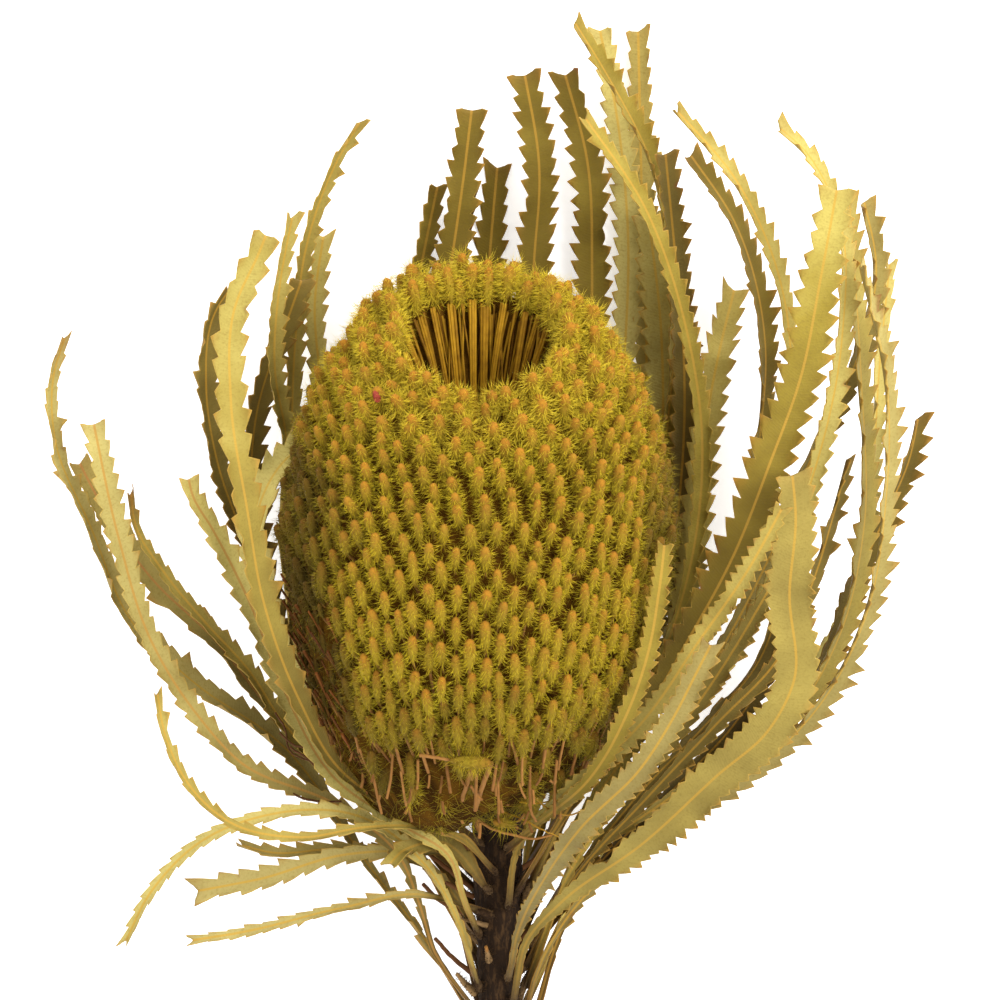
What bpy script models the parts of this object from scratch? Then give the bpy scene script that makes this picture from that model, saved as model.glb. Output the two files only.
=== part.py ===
"""Dried banksia flower: one cut stem with a big ovoid head and long saw-toothed leaves, lying on a surface.

It lies on its back leaves and on the cut end of its stem, with the flower's tip towards +Y and +Z up.
The origin is on the surface, under the middle of the head. Sizes are in millimetres until a mesh is made.

The leaves are laid out as someone sees them who looks down on the flower, VIEW degrees above its cross
plane: across to the right, up towards the flower's tip, and front, towards that person and square to the
flower's axis. Each leaf is a short hand-made list of (across, up) stations from the stem to its tip.
"""

import math

import bmesh
import bpy
import numpy as np

METRE = 0.001  # one millimetre in metres

# Driving dimensions, in millimetres and degrees
VIEW = 32.0  # the eye's height above the flower's cross plane
HEAD_HEIGHT = 45.0  # from the surface up to the middle of the head
HEAD_RADIUS = 40.5  # to the tips of the florets
HEAD_HALF_LENGTH = 59.5
HEAD_BASE_ANGLE = 72.0  # how far below its waist the head's round side ends, seen from its middle
HEAD_CROWN_ANGLE = 64.0  # how far above its waist its crown's lip starts
HEAD_CLEARANCE = 1.2  # the leaves keep this far from the florets
STEM_END = 190.0  # from the middle of the head down to the cut
STEM_RADIUS = 4.3  # near the cut
STEM_NECK_RADIUS = 5.4  # under the head
STEM_SHIFT = 4.0  # the stem stands this far to the right of the head's axis
STEM_KNOT = 0.2  # half the height of its low knots
STEM_SIDES = 12
STEM_RINGS = 24
SEAT = 0.3  # gap between pieces that touch

FLORET_COLUMNS = 36
FLORET_ROWS = 40  # half steps of the staggered columns
FLORET_HEIGHT = 6.0
FLORET_RISE = 3.5  # how far a floret's tip leans towards the crown
CORE_RADIUS = HEAD_RADIUS - 0.93 * FLORET_HEIGHT
CORE_HALF_LENGTH = HEAD_HALF_LENGTH - 0.75 * FLORET_HEIGHT
CROWN_RADIUS = 15.0  # of the open funnel in the crown
FUNNEL_FLOOR_RADIUS = 6.0
FUNNEL_DEPTH = 34.0
FUNNEL_FLUTE = 1.1

BLADE = 1.2  # thickness along the midrib
TOOTH_PITCH = 9.0
NOTCH = 0.58  # depth of the notches, as a share of the half width
TOOTH_LEAN = 0.72  # where a tooth's tip stands between its two notches
TIP_HORN = 2.2  # the last two teeth reach this far past the midrib
PETIOLE_WIDTH = 1.8
PETIOLE_SHARE = 0.12  # the bare part of a leaf before its first tooth
SAMPLES = 48  # along each leaf
CLEARANCE = 0.4  # between leaves that cross
SETTLING_STEPS = 300

TILT = math.degrees(
    math.asin(HEAD_HEIGHT / math.hypot(STEM_END, STEM_RADIUS)) - math.atan(STEM_RADIUS / STEM_END)
)
SIN_VIEW = math.sin(math.radians(VIEW))
COS_VIEW = math.cos(math.radians(VIEW))
TAN_VIEW = SIN_VIEW / COS_VIEW
SIN_TILT = math.sin(math.radians(TILT))
COS_TILT = math.cos(math.radians(TILT))
SIN_LOOK = math.sin(math.radians(VIEW - TILT))
COS_LOOK = math.cos(math.radians(VIEW - TILT))

STEM_COLOUR = (0.060, 0.034, 0.018)
HEAD_COLOUR = (0.300, 0.240, 0.030)
LEAF_COLOUR = (0.440, 0.370, 0.120)

IN_FRONT = 1
BEHIND = -1

# Each leaf: name, which side of the head and stem it passes, width, the turn of its face away from the eye
# at its base and its tip, the fold of each half, its front at its middle and its tip, and its stations.
LEAVES = (
    ("leaf_left_01", BEHIND, 7, (30, 45), 15, (-12, -10),
     ((0, -100), (-11, -82), (-23, -66), (-40, -42), (-58, -29), (-70, -17), (-78, 2), (-85, 20),
      (-85, 33), (-82, 42))),
    ("leaf_left_02", IN_FRONT, 5, (20, 40), 15, (2, -4),
     ((0, -97), (-9, -84), (-12, -74), (-16, -64), (-28, -54), (-48, -45), (-57, -35), (-66, -20),
      (-72, 0), (-77, 25))),
    ("leaf_left_03", BEHIND, 6, (20, 30), 20, (-16, -18),
     ((0, -72), (-11, -62), (-26, -52), (-40, -38), (-54, -20), (-66, -8), (-77, 9), (-81, 17))),
    ("leaf_left_04", BEHIND, 5, (20, 35), 20, (-8, -9),
     ((0, -67), (-12, -60), (-26, -50), (-39, -38), (-47, -26), (-55, -17), (-63, -7), (-69, 3),
      (-70, 11))),
    ("leaf_left_05", IN_FRONT, 6, (10, 25), 15, (14, 10),
     ((0, -80), (-3, -73), (-6, -64), (-15, -58), (-29, -48), (-39, -30), (-46, -12), (-53, 2),
      (-57, 9), (-58, 14))),
    ("leaf_left_06", IN_FRONT, 8, (5, 10), 10, (22, 8),
     ((0, -61), (-6, -57), (-14, -55), (-28, -46), (-36, -32), (-43, -12), (-46, 6), (-49, 28),
      (-48, 46), (-43, 57), (-41, 62))),
    ("leaf_left_07", BEHIND, 7, (20, 45), 20, (-22, -28),
     ((1, -68), (-20, -52), (-38, -25), (-46, -4), (-53, 16), (-55, 30), (-53, 46), (-49, 52))),
    ("leaf_left_08", BEHIND, 8, (20, 30), 10, (-30, -38),
     ((0, -76), (-15, -58), (-32, -38), (-42, -15), (-46, 5), (-45, 26), (-38, 46), (-35, 54))),
    ("leaf_left_09", BEHIND, 5, (20, 40), 20, (-21, -22),
     ((0, -82), (-20, -54), (-36, -25), (-40, 0), (-39, 20), (-41, 34), (-40, 50), (-37, 66))),
    ("leaf_left_10", BEHIND, 6, (20, 45), 25, (-36, -40),
     ((0, -86), (-18, -54), (-32, -28), (-38, 0), (-38, 22), (-37, 42), (-35, 58), (-28, 77),
      (-23, 85))),
    ("leaf_left_11", BEHIND, 6, (10, 25), 15, (-44, -50),
     ((1, -90), (-10, -62), (-24, -40), (-32, -15), (-34, 10), (-32, 30), (-33, 48), (-31, 63))),
    ("leaf_left_12", BEHIND, 8, (10, 15), 10, (-3, -3),
     ((-1, -68), (-20, -52), (-35, -32), (-43, -10), (-44, 5), (-40, 14), (-34, 20))),
    ("leaf_low_01", IN_FRONT, 3, (10, 40), 15, (22, 6),
     ((3, -67), (-4, -60), (-12, -58), (-22, -58), (-36, -60), (-50, -57), (-58, -50), (-63, -40),
      (-65, -29))),
    ("leaf_low_02", IN_FRONT, 4, (10, 25), 20, (12, 5),
     ((0, -91), (-4, -78), (-10, -67), (-24, -56), (-44, -56), (-56, -61), (-66, -71), (-72, -83))),
    ("leaf_low_03", BEHIND, 4, (10, 25), 25, (-7, -8),
     ((0, -80), (-11, -66), (-28, -63), (-42, -64), (-50, -62))),
    ("leaf_low_04", BEHIND, 5, (10, 10), 10, (0, -4),
     ((0, -64), (-12, -63), (-28, -64), (-44, -69), (-59, -72))),
    ("leaf_low_05", IN_FRONT, 3, (10, 30), 15, (8, 2),
     ((2, -76), (-12, -72), (-28, -75), (-44, -79), (-60, -82))),
    ("leaf_low_06", IN_FRONT, 5, (10, 10), 10, (13, 16),
     ((2, -71), (-8, -61), (-15, -63), (-19, -67))),
    ("leaf_right_01", IN_FRONT, 6, (10, 20), 10, (24, 16),
     ((6, -74), (8, -62), (16, -52), (24, -45), (32, -37), (44, -20), (53, -7), (61, 8))),
    ("leaf_right_02", IN_FRONT, 7, (15, 10), 15, (33, 30),
     ((6, -89), (8, -79), (13, -68), (20, -58), (32, -46), (39, -35), (43, -27), (47, -19))),
    ("leaf_right_03", IN_FRONT, 11, (10, 5), 8, (20, 22),
     ((7, -94), (10, -81), (17, -73), (33, -61), (48, -47), (58, -38), (63, -28), (62, -11),
      (63, 5), (62, 15))),
    ("leaf_right_04", BEHIND, 7, (20, 50), 20, (2, -6),
     ((10, -99), (12, -87), (19, -75), (30, -64), (44, -54), (57, -45), (69, -32), (77, -16),
      (81, 8), (81, 30), (75, 56))),
    ("leaf_right_05", BEHIND, 7, (20, 30), 30, (-10, -8),
     ((9, -87), (14, -76), (24, -62), (32, -52), (45, -38), (57, -23), (60, -15))),
    ("leaf_right_06", BEHIND, 8, (20, 30), 15, (-10, -14),
     ((10, -83), (20, -66), (36, -54), (52, -43), (64, -34), (72, -20), (77, 3), (76, 32),
      (74, 58), (73, 69))),
    ("leaf_right_07", IN_FRONT, 11, (10, 5), 8, (13, 2),
     ((8, -71), (19, -53), (32, -37), (42, -20), (51, -3), (58, 15), (64, 32), (68, 53), (71, 71))),
    ("leaf_right_08", BEHIND, 5, (20, 45), 20, (-2, -16),
     ((10, -72), (22, -48), (37, -32), (47, -17), (57, 6), (62, 30), (59, 54), (51, 71), (38, 86))),
    ("leaf_right_09", BEHIND, 7, (20, 35), 20, (-20, -28),
     ((9, -76), (22, -48), (36, -32), (46, -16), (53, 2), (56, 20), (57, 40), (51, 63), (41, 78))),
    ("leaf_right_10", BEHIND, 8, (10, 15), 10, (-36, -46),
     ((7, -84), (19, -60), (31, -42), (39, -22), (43, -4), (45, 18), (48, 36), (52, 52))),
    ("leaf_right_11", BEHIND, 6, (20, 40), 25, (-6, -10),
     ((10, -91), (17, -70), (30, -50), (46, -30), (58, -10), (67, 14), (72, 40), (71, 64),
      (64, 77), (58, 82))),
    ("leaf_right_12", BEHIND, 7, (20, 40), 25, (-18, -20),
     ((8, -94), (20, -64), (36, -42), (50, -20), (59, -2), (68, 20), (76, 38), (79, 54), (76, 69))),
    ("leaf_right_13", BEHIND, 5, (20, 40), 20, (-22, -24),
     ((8, -98), (24, -66), (42, -50), (58, -38), (69, -24), (76, -8), (79, 14), (80, 34), (82, 57))),
    ("leaf_right_14", BEHIND, 7, (20, 45), 20, (-16, -18),
     ((9, -104), (22, -70), (40, -55), (56, -42), (68, -28), (76, -8), (82, 6), (86, 16), (88, 26))),
    ("leaf_right_15", BEHIND, 5, (20, 50), 20, (-9, -10),
     ((10, -87), (19, -69), (34, -52), (48, -37), (60, -24), (67, -8), (71, 6), (74, 18))),
    ("leaf_right_16", IN_FRONT, 5, (10, 10), 10, (26, 24),
     ((6, -62), (12, -57), (22, -48), (30, -34), (34, -22), (36, -10), (37, 1))),
    ("leaf_right_17", BEHIND, 6, (20, 30), 30, (-18, -16),
     ((8, -88), (16, -76), (28, -62), (42, -48), (52, -37), (58, -27), (60, -18))),
    ("leaf_right_18", BEHIND, 5, (15, 30), 20, (2, -2),
     ((10, -77), (15, -66), (26, -54), (38, -41), (46, -30), (53, -19), (59, -8), (63, 1))),
    ("leaf_back_01", BEHIND, 6, (0, 10), 10, (-46, -54),
     ((0, -94), (-8, -60), (-16, -30), (-19, 0), (-17, 30), (-12, 54), (-8, 73))),
    ("leaf_back_02", BEHIND, 9, (0, 0), 8, (-44, -50),
     ((1, -74), (-7, -45), (-11, -10), (-10, 25), (-6, 52), (-3, 72), (-1, 88))),
    ("leaf_back_03", BEHIND, 6, (0, 0), 5, (-50, -60),
     ((3, -79), (-2, -50), (-8, -20), (-9, 15), (-5, 52), (-1, 74))),
    ("leaf_back_04", BEHIND, 8, (0, 0), 0, (-52, -60),
     ((4, -84), (3, -50), (1, -20), (0, 15), (2, 52), (4, 77))),
    ("leaf_back_05", BEHIND, 9, (0, 0), 8, (-44, -50),
     ((4, -72), (9, -40), (12, -5), (12, 25), (11, 54), (12, 76), (9, 95))),
    ("leaf_back_06", BEHIND, 9, (0, 0), 8, (-46, -52),
     ((5, -77), (13, -44), (20, -10), (22, 25), (23, 54), (22, 76), (17, 95))),
    ("leaf_back_07", BEHIND, 7, (10, 40), 30, (-40, -38),
     ((5, -83), (13, -58), (24, -32), (34, -4), (38, 24), (39, 52), (34, 76), (25, 93), (18, 104))),
    ("leaf_back_08", BEHIND, 7, (0, 10), 8, (-50, -58),
     ((7, -93), (11, -58), (18, -30), (26, 0), (29, 30), (30, 64), (28, 84), (24, 104))),
    ("leaf_back_09", BEHIND, 7, (0, 10), 8, (-54, -62),
     ((6, -101), (12, -70), (22, -38), (31, -2), (34, 34), (33, 66), (32, 104))),
    ("leaf_back_10", BEHIND, 5, (20, 40), 20, (-24, -22),
     ((8, -69), (20, -50), (34, -30), (42, -8), (45, 18), (41, 44), (33, 66), (20, 85))),
    ("leaf_back_11", BEHIND, 9, (10, 5), 8, (-44, -52),
     ((7, -86), (15, -60), (26, -36), (34, -12), (37, 14), (37, 42), (34, 67))),
    ("leaf_back_12", BEHIND, 7, (10, 30), 15, (-38, -44),
     ((9, -73), (19, -52), (30, -32), (38, -8), (41, 16), (41, 40), (39, 60), (37, 79))),
)


def ease(x):
    """0 to 1 with a soft start and end."""
    x = np.clip(x, 0.0, 1.0)
    return x * x * (3.0 - 2.0 * x)


def unit(vectors):
    return vectors / np.linalg.norm(vectors, axis=-1, keepdims=True)


def smooth_curve(stations, count):
    """A smooth curve through the stations, sampled at even steps of its length."""
    stations = np.array(stations, float)
    knots = np.concatenate([[0.0], np.cumsum(np.linalg.norm(np.diff(stations, axis=0), axis=1))])
    slopes = np.gradient(stations, knots, axis=0)
    places = np.linspace(0.0, knots[-1], 12 * count)
    first = np.clip(np.searchsorted(knots, places, side="right") - 1, 0, len(knots) - 2)
    span = (knots[first + 1] - knots[first])[:, None]
    t = (places - knots[first])[:, None] / span
    curve = (
        (2 * t**3 - 3 * t**2 + 1) * stations[first]
        + (t**3 - 2 * t**2 + t) * span * slopes[first]
        + (3 * t**2 - 2 * t**3) * stations[first + 1]
        + (t**3 - t**2) * span * slopes[first + 1]
    )
    lengths = np.concatenate([[0.0], np.cumsum(np.linalg.norm(np.diff(curve, axis=0), axis=1))])
    even = np.linspace(0.0, lengths[-1], count)
    return np.stack([np.interp(even, lengths, column) for column in curve.T], axis=1)


def to_part(seen):
    """(across, up, depth) as the eye sees them, turned into the part's X, Y and Z."""
    across, up, depth = seen[..., 0], seen[..., 1], seen[..., 2]
    return np.stack(
        [across, up * COS_LOOK + depth * SIN_LOOK, HEAD_HEIGHT - up * SIN_LOOK + depth * COS_LOOK], axis=-1
    )


def along_axis(across, front, axial):
    """A point given in the flower's own directions, turned into the part's X, Y and Z."""
    return (
        across,
        axial * COS_TILT - front * SIN_TILT,
        HEAD_HEIGHT + axial * SIN_TILT + front * COS_TILT,
    )


def stem_radius(axial):
    """The stem thickens towards the head."""
    return STEM_RADIUS + (STEM_NECK_RADIUS - STEM_RADIUS) * ease((axial + 110.0) / 50.0)


def half_width(share, width):
    """Half a leaf's width at this share of its length: a narrow petiole, then a long strap."""
    grown = ease((share - 0.04) / 0.5)
    return 0.5 * (PETIOLE_WIDTH + (width - PETIOLE_WIDTH) * grown) * (1.0 - 0.2 * ease((share - 0.85) / 0.15))


def depth_limits(across, up, side, reach):
    """The lowest and highest depth that a leaf may have here: above the surface, clear of head and stem."""
    lowest = (up * SIN_LOOK - HEAD_HEIGHT) / COS_LOOK
    highest = np.full(len(across), np.inf)
    around = HEAD_RADIUS + HEAD_CLEARANCE
    along = HEAD_HALF_LENGTH + HEAD_CLEARANCE
    square = COS_VIEW**2 / around**2 + SIN_VIEW**2 / along**2
    linear = 2.0 * up * SIN_VIEW * COS_VIEW * (1.0 / along**2 - 1.0 / around**2)
    constant = up**2 * (SIN_VIEW**2 / around**2 + COS_VIEW**2 / along**2) + (across / around) ** 2 - 1.0
    inside = linear**2 - 4.0 * square * constant
    half = np.sqrt(np.maximum(inside, 0.0))
    meets = inside > 0.0
    if side == IN_FRONT:
        lowest = np.where(meets, np.maximum(lowest, (-linear + half) / (2.0 * square) + reach), lowest)
    else:
        highest = np.where(meets, (-linear - half) / (2.0 * square) - reach - BLADE, highest)
    clear = STEM_NECK_RADIUS + SEAT + 0.5 * PETIOLE_WIDTH
    beside = np.sqrt(np.maximum(clear**2 - (across - STEM_SHIFT) ** 2, 0.0))
    crosses = (np.abs(across - STEM_SHIFT) < clear) & (up < -50.0)
    stem_depth = (side * beside + up * SIN_VIEW) / COS_VIEW
    if side == IN_FRONT:
        lowest = np.where(crosses, np.maximum(lowest, stem_depth), lowest)
    else:
        highest = np.where(crosses, np.minimum(highest, stem_depth), highest)
    return lowest, np.maximum(highest, lowest)


class Leaf:
    """One leaf's path and the frame that its blade follows."""

    def __init__(self, row):
        self.name, self.side, self.width, self.turn, self.fold, fronts, stations = row
        flat = smooth_curve(self.seated(stations), SAMPLES)
        self.across, self.up = flat.T
        self.share = np.linspace(0.0, 1.0, SAMPLES)
        self.layer = fronts[0]
        self.half = half_width(self.share, self.width)
        self.turns = np.radians(self.turn[0] + (self.turn[1] - self.turn[0]) * self.share)
        self.wish = self.up * TAN_VIEW + self.front_along(fronts) / COS_VIEW
        self.seen_half = self.half * np.maximum(np.cos(self.turns), 0.4)
        self.reach = self.half * (np.abs(np.sin(self.turns)) + 0.5 * math.sin(math.radians(self.fold)))
        self.lowest, self.highest = depth_limits(self.across, self.up, self.side, self.reach)
        self.lowest[0] = self.highest[0] = self.wish[0]
        self.depth = np.clip(self.wish, self.lowest, self.highest)

    def seated(self, stations):
        """The stations with the first one moved onto the stem's skin."""
        across, up = stations[0]
        skin = stem_radius((up - 2.0) / COS_VIEW) + SEAT
        turned = min(abs(across - STEM_SHIFT) / (skin + 0.5 * PETIOLE_WIDTH), 1.0)
        radius = skin + 0.33 * PETIOLE_WIDTH * turned
        if self.side == BEHIND:
            radius += 0.55 * BLADE * math.sqrt(1.0 - turned**2)
        offset = float(np.clip(across - STEM_SHIFT, -radius, radius))
        self.base_front = self.side * math.sqrt(radius**2 - offset**2)
        return ((STEM_SHIFT + offset, up),) + stations[1:]

    def front_along(self, fronts):
        """The leaf's front, from the stem's skin through its middle to its tip."""
        leaving = (ease(0.1 + self.share / 0.55) - ease(0.1)) / (1.0 - ease(0.1))
        first = self.base_front + (fronts[0] - self.base_front) * leaving
        return first + (fronts[1] - fronts[0]) * ease((self.share - 0.4) / 0.6)

    def relax(self, push, softness):
        """Moves the path in depth, softly along its length and within its limits."""
        depth = self.depth + push
        inner = 0.25 * depth[:-2] + 0.5 * depth[1:-1] + 0.25 * depth[2:]
        depth[1:-1] += softness * (inner - depth[1:-1])
        self.depth = np.clip(depth, self.lowest, self.highest)

    def frames(self):
        """Centre, direction, across and outward vectors of the blade, in the part's directions."""
        centre = to_part(np.stack([self.across, self.up, self.depth], axis=1))
        along = unit(np.gradient(centre, axis=0))
        eye = np.array([0.0, SIN_LOOK, COS_LOOK])
        facing = unit(eye - (along @ eye)[:, None] * along)
        sideways = np.cross(along, facing)
        out = np.cos(self.turns)[:, None] * facing + np.sin(self.turns)[:, None] * sideways
        near_floor = (1.0 - ease((centre[:, 2] - 0.5) / 6.0))[:, None]
        level = unit(np.array([0.0, 0.0, 1.0]) - along * along[:, 2:3])
        out = unit(out * (1.0 - near_floor) + level * near_floor)
        return centre, np.cross(along, out), out


def crossings(leaves):
    """Where one leaf's path runs over or under another's, as seen, and how far apart in depth they lie."""
    found = []
    for a, leaf in enumerate(leaves):
        path = np.stack([leaf.across, leaf.up], axis=1)
        for b, other in enumerate(leaves):
            if a == b:
                continue
            start = np.stack([other.across, other.up], axis=1)
            step = np.diff(start, axis=0)
            offset = path[:, None, :] - start[None, :-1, :]
            share = np.clip((offset * step).sum(axis=2) / (step**2).sum(axis=1), 0.0, 1.0)
            apart = np.linalg.norm(offset - share[:, :, None] * step, axis=2)
            nearest = apart.argmin(axis=1)
            rows = np.arange(SAMPLES)
            share = share[rows, nearest]
            reach = leaf.seen_half + other.seen_half[nearest]
            close = apart[rows, nearest] < reach + 0.8
            if not close.any():
                continue
            order = 1.0 if (leaf.layer, a) > (other.layer, b) else -1.0
            need = leaf.reach + other.reach[nearest] + BLADE + CLEARANCE
            for row in rows[close]:
                found.append((a * SAMPLES + row, b * SAMPLES + nearest[row], share[row], need[row], order))
    return [np.array(column) for column in zip(*found)]


def part_leaves(leaves):
    """Moves leaves that cross apart along the line of sight, so that each keeps its place as seen."""
    first, second, share, need, order = crossings(leaves)
    for step in range(SETTLING_STEPS):
        softness = 0.5 * max(0.0, 1.0 - 1.5 * step / SETTLING_STEPS)
        depth = np.concatenate([leaf.depth for leaf in leaves])
        gap = depth[first] - (1.0 - share) * depth[second] - share * depth[second + 1]
        short = np.maximum(need - gap * order, 0.0) * 0.5 * order
        rise = np.zeros(len(depth))
        sink = np.zeros(len(depth))
        np.maximum.at(rise, first, short)
        np.minimum.at(sink, first, short)
        for leaf, push in zip(leaves, np.split(rise + sink, len(leaves))):
            leaf.relax(push, softness)


class Blade:
    """Builds one leaf's mesh: rows across the blade, a tooth on each side between them."""

    def __init__(self, leaf):
        self.leaf = leaf
        self.centre, self.sideways, self.out = leaf.frames()
        steps = np.linalg.norm(np.diff(self.centre, axis=0), axis=1)
        self.distance = np.concatenate([[0.0], np.cumsum(steps)])
        self.length = self.distance[-1] - TIP_HORN
        self.fold = math.radians(leaf.fold)
        self.mesh = bmesh.new()

    def along(self, values, distance):
        return np.array([np.interp(distance, self.distance, column) for column in values.T])

    def point(self, distance, offset, lift=0.0):
        centre = self.along(self.centre, distance)
        sideways = unit(self.along(self.sideways, distance))
        out = unit(self.along(self.out, distance))
        place = centre + sideways * offset * math.cos(self.fold) + out * abs(offset) * math.sin(self.fold)
        place[2] = max(place[2], 0.0)
        return self.mesh.verts.new(tuple((place + out * lift) * METRE))

    def row(self, distance, half, thickness):
        return (
            self.point(distance, -half),
            self.point(distance, 0.0, thickness),
            self.point(distance, half),
            self.point(distance, 0.0),
        )

    def face(self, flip, *corners):
        self.mesh.faces.new(corners[::-1] if flip else corners)

    def half_strip(self, edge, middle, next_edge, next_middle, tooth, flip):
        """One half of one face between two rows, cut into triangles the same way on top and below."""
        if tooth is None:
            self.face(flip, edge, middle, next_middle)
            self.face(flip, edge, next_middle, next_edge)
            return
        self.face(flip, edge, middle, tooth)
        self.face(flip, middle, next_middle, tooth)
        if next_edge is not next_middle:
            self.face(flip, tooth, next_middle, next_edge)

    def strip(self, row, next_row, teeth):
        left, top, right, low = row
        next_left, next_top, next_right, next_low = next_row
        self.half_strip(left, top, next_left, next_top, teeth[0], False)
        self.half_strip(right, top, next_right, next_top, teeth[1], True)
        self.half_strip(left, low, next_left, next_low, teeth[0], True)
        self.half_strip(right, low, next_right, next_low, teeth[1], False)

    def build(self):
        leaf = self.leaf
        bare = PETIOLE_SHARE * self.length
        teeth = max(3, round((self.length - bare) / TOOTH_PITCH))
        pitch = (self.length - bare) / teeth
        row = self.row(0.0, 0.5 * PETIOLE_WIDTH, BLADE * 0.8)
        left, top, right, low = row
        self.face(False, left, low, top)
        self.face(False, low, right, top)
        next_row = self.row(0.5 * bare, 0.5 * PETIOLE_WIDTH, BLADE * 0.8)
        self.strip(row, next_row, (None, None))
        row = next_row
        for index in range(teeth + 1):
            distance = bare + index * pitch
            half = half_width(distance / self.length, leaf.width)
            if index < teeth:
                next_row = self.row(distance, half * (NOTCH if index else 0.8), BLADE)
            else:
                apex = self.point(distance, 0.0)
                next_row = (apex, apex, apex, apex)
            if index == 0:
                points = (None, None)
            else:
                lean = distance - (1.0 - TOOTH_LEAN) * pitch if index < teeth else distance + TIP_HORN
                points = (self.point(lean, -half), self.point(lean, half))
            self.strip(row, next_row, points)
            row = next_row
        return self.mesh


def head_profile():
    """The head's core seen from the side, from its base round to the crown and down into its funnel."""
    around = np.radians(np.linspace(-HEAD_BASE_ANGLE, HEAD_CROWN_ANGLE, 30))
    return np.stack([CORE_RADIUS * np.cos(around), CORE_HALF_LENGTH * np.sin(around)], axis=1)


def head_mesh():
    """The head: a core whose skin rises into one blunt six-sided floret in each cell of a staggered grid."""
    mesh = bmesh.new()
    profile = smooth_curve(head_profile(), FLORET_ROWS + 1)
    direction = unit(np.gradient(profile, axis=0))

    def place(column, row, out=0.0, rise=0.0):
        angle = 2.0 * math.pi * column / FLORET_COLUMNS
        radius, axial = profile[row]
        radius += out * direction[row][1]
        axial += rise - out * direction[row][0]
        here = along_axis(radius * math.cos(angle), radius * math.sin(angle), axial)
        return mesh.verts.new(tuple(METRE * value for value in here))

    valleys = [
        [place(column + (1 if (column + row) % 2 else 2) / 3.0, row) for column in range(FLORET_COLUMNS)]
        for row in range(FLORET_ROWS + 1)
    ]
    for row in range(1, FLORET_ROWS):
        for column in range(row % 2, FLORET_COLUMNS, 2):
            tip = place(column, row, FLORET_HEIGHT, FLORET_RISE)
            ring = (
                valleys[row][column],
                valleys[row + 1][column],
                valleys[row + 1][column - 1],
                valleys[row][column - 1],
                valleys[row - 1][column - 1],
                valleys[row - 1][column],
            )
            for corner, following in zip(ring, ring[1:] + ring[:1]):
                mesh.faces.new((tip, corner, following))
    for column in range(0, FLORET_COLUMNS, 2):
        low, high = valleys[0], valleys[1]
        mesh.faces.new((low[column], high[column], high[column - 1], low[column - 1]))
        column += FLORET_ROWS % 2
        low, high = valleys[FLORET_ROWS - 1], valleys[FLORET_ROWS]
        mesh.faces.new((high[column - 1], low[column - 1], low[column], high[column]))
    close_base(mesh, valleys[0])
    close_funnel(mesh, valleys[FLORET_ROWS])
    bmesh.ops.recalc_face_normals(mesh, faces=mesh.faces)
    return mesh


def close_base(mesh, ring):
    """A flat underside, where the head sits on the stem."""
    mesh.faces.new(ring[::-1])


def close_funnel(mesh, ring):
    """The crown's lip and the fluted wall of the funnel, down to its small floor."""
    rings = [ring]
    top = HEAD_HALF_LENGTH * math.sin(math.radians(HEAD_CROWN_ANGLE))
    for radius, axial in (
        (CROWN_RADIUS + 3.0, top + 1.5),
        (CROWN_RADIUS, top - 3.0),
        (0.5 * (CROWN_RADIUS + FUNNEL_FLOOR_RADIUS), top - 0.5 * FUNNEL_DEPTH),
        (FUNNEL_FLOOR_RADIUS, top - FUNNEL_DEPTH),
    ):
        points = []
        for column in range(FLORET_COLUMNS):
            angle = 2.0 * math.pi * (column + 0.5) / FLORET_COLUMNS
            flute = radius + (FUNNEL_FLUTE if column % 2 else -FUNNEL_FLUTE) * radius / CROWN_RADIUS
            place = along_axis(flute * math.cos(angle), flute * math.sin(angle), axial)
            points.append(mesh.verts.new(tuple(METRE * value for value in place)))
        rings.append(points)
    for lower, upper in zip(rings, rings[1:]):
        for column in range(FLORET_COLUMNS):
            mesh.faces.new((lower[column - 1], lower[column], upper[column], upper[column - 1]))
    mesh.faces.new(rings[-1])


def stem_mesh():
    """The stem: a woolly round shoot with low knots where old leaves stood, cut off square."""
    mesh = bmesh.new()
    top = -CORE_HALF_LENGTH * math.sin(math.radians(HEAD_BASE_ANGLE)) - SEAT
    rings = []
    for index, axial in enumerate(np.linspace(-STEM_END, top, STEM_RINGS)):
        ring = []
        for side in range(STEM_SIDES):
            angle = 2.0 * math.pi * side / STEM_SIDES
            knot = STEM_KNOT * (math.sin(2.4 * side + 1.9 * index) - 1.0) if index else 0.0
            radius = stem_radius(axial) + knot
            place = along_axis(STEM_SHIFT + radius * math.cos(angle), radius * math.sin(angle), axial)
            ring.append(mesh.verts.new(tuple(METRE * value for value in place)))
        rings.append(ring)
    for lower, upper in zip(rings, rings[1:]):
        for side in range(STEM_SIDES):
            mesh.faces.new((lower[side - 1], lower[side], upper[side], upper[side - 1]))
    mesh.faces.new(rings[0][::-1])
    mesh.faces.new(rings[-1])
    bmesh.ops.recalc_face_normals(mesh, faces=mesh.faces)
    return mesh


def make_material(name, colour, roughness):
    material = bpy.data.materials.new(name)
    material.use_nodes = True
    shader = material.node_tree.nodes["Principled BSDF"]
    shader.inputs["Base Color"].default_value = (*colour, 1.0)
    shader.inputs["Roughness"].default_value = roughness
    shader.inputs["Metallic"].default_value = 0.0
    return material


def add_part(collection, name, mesh, material):
    """Makes the named object of a finished bmesh."""
    data = bpy.data.meshes.new(name)
    mesh.to_mesh(data)
    mesh.free()
    data.materials.append(material)
    part = bpy.data.objects.new(name, data)
    collection.objects.link(part)
    return part


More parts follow.
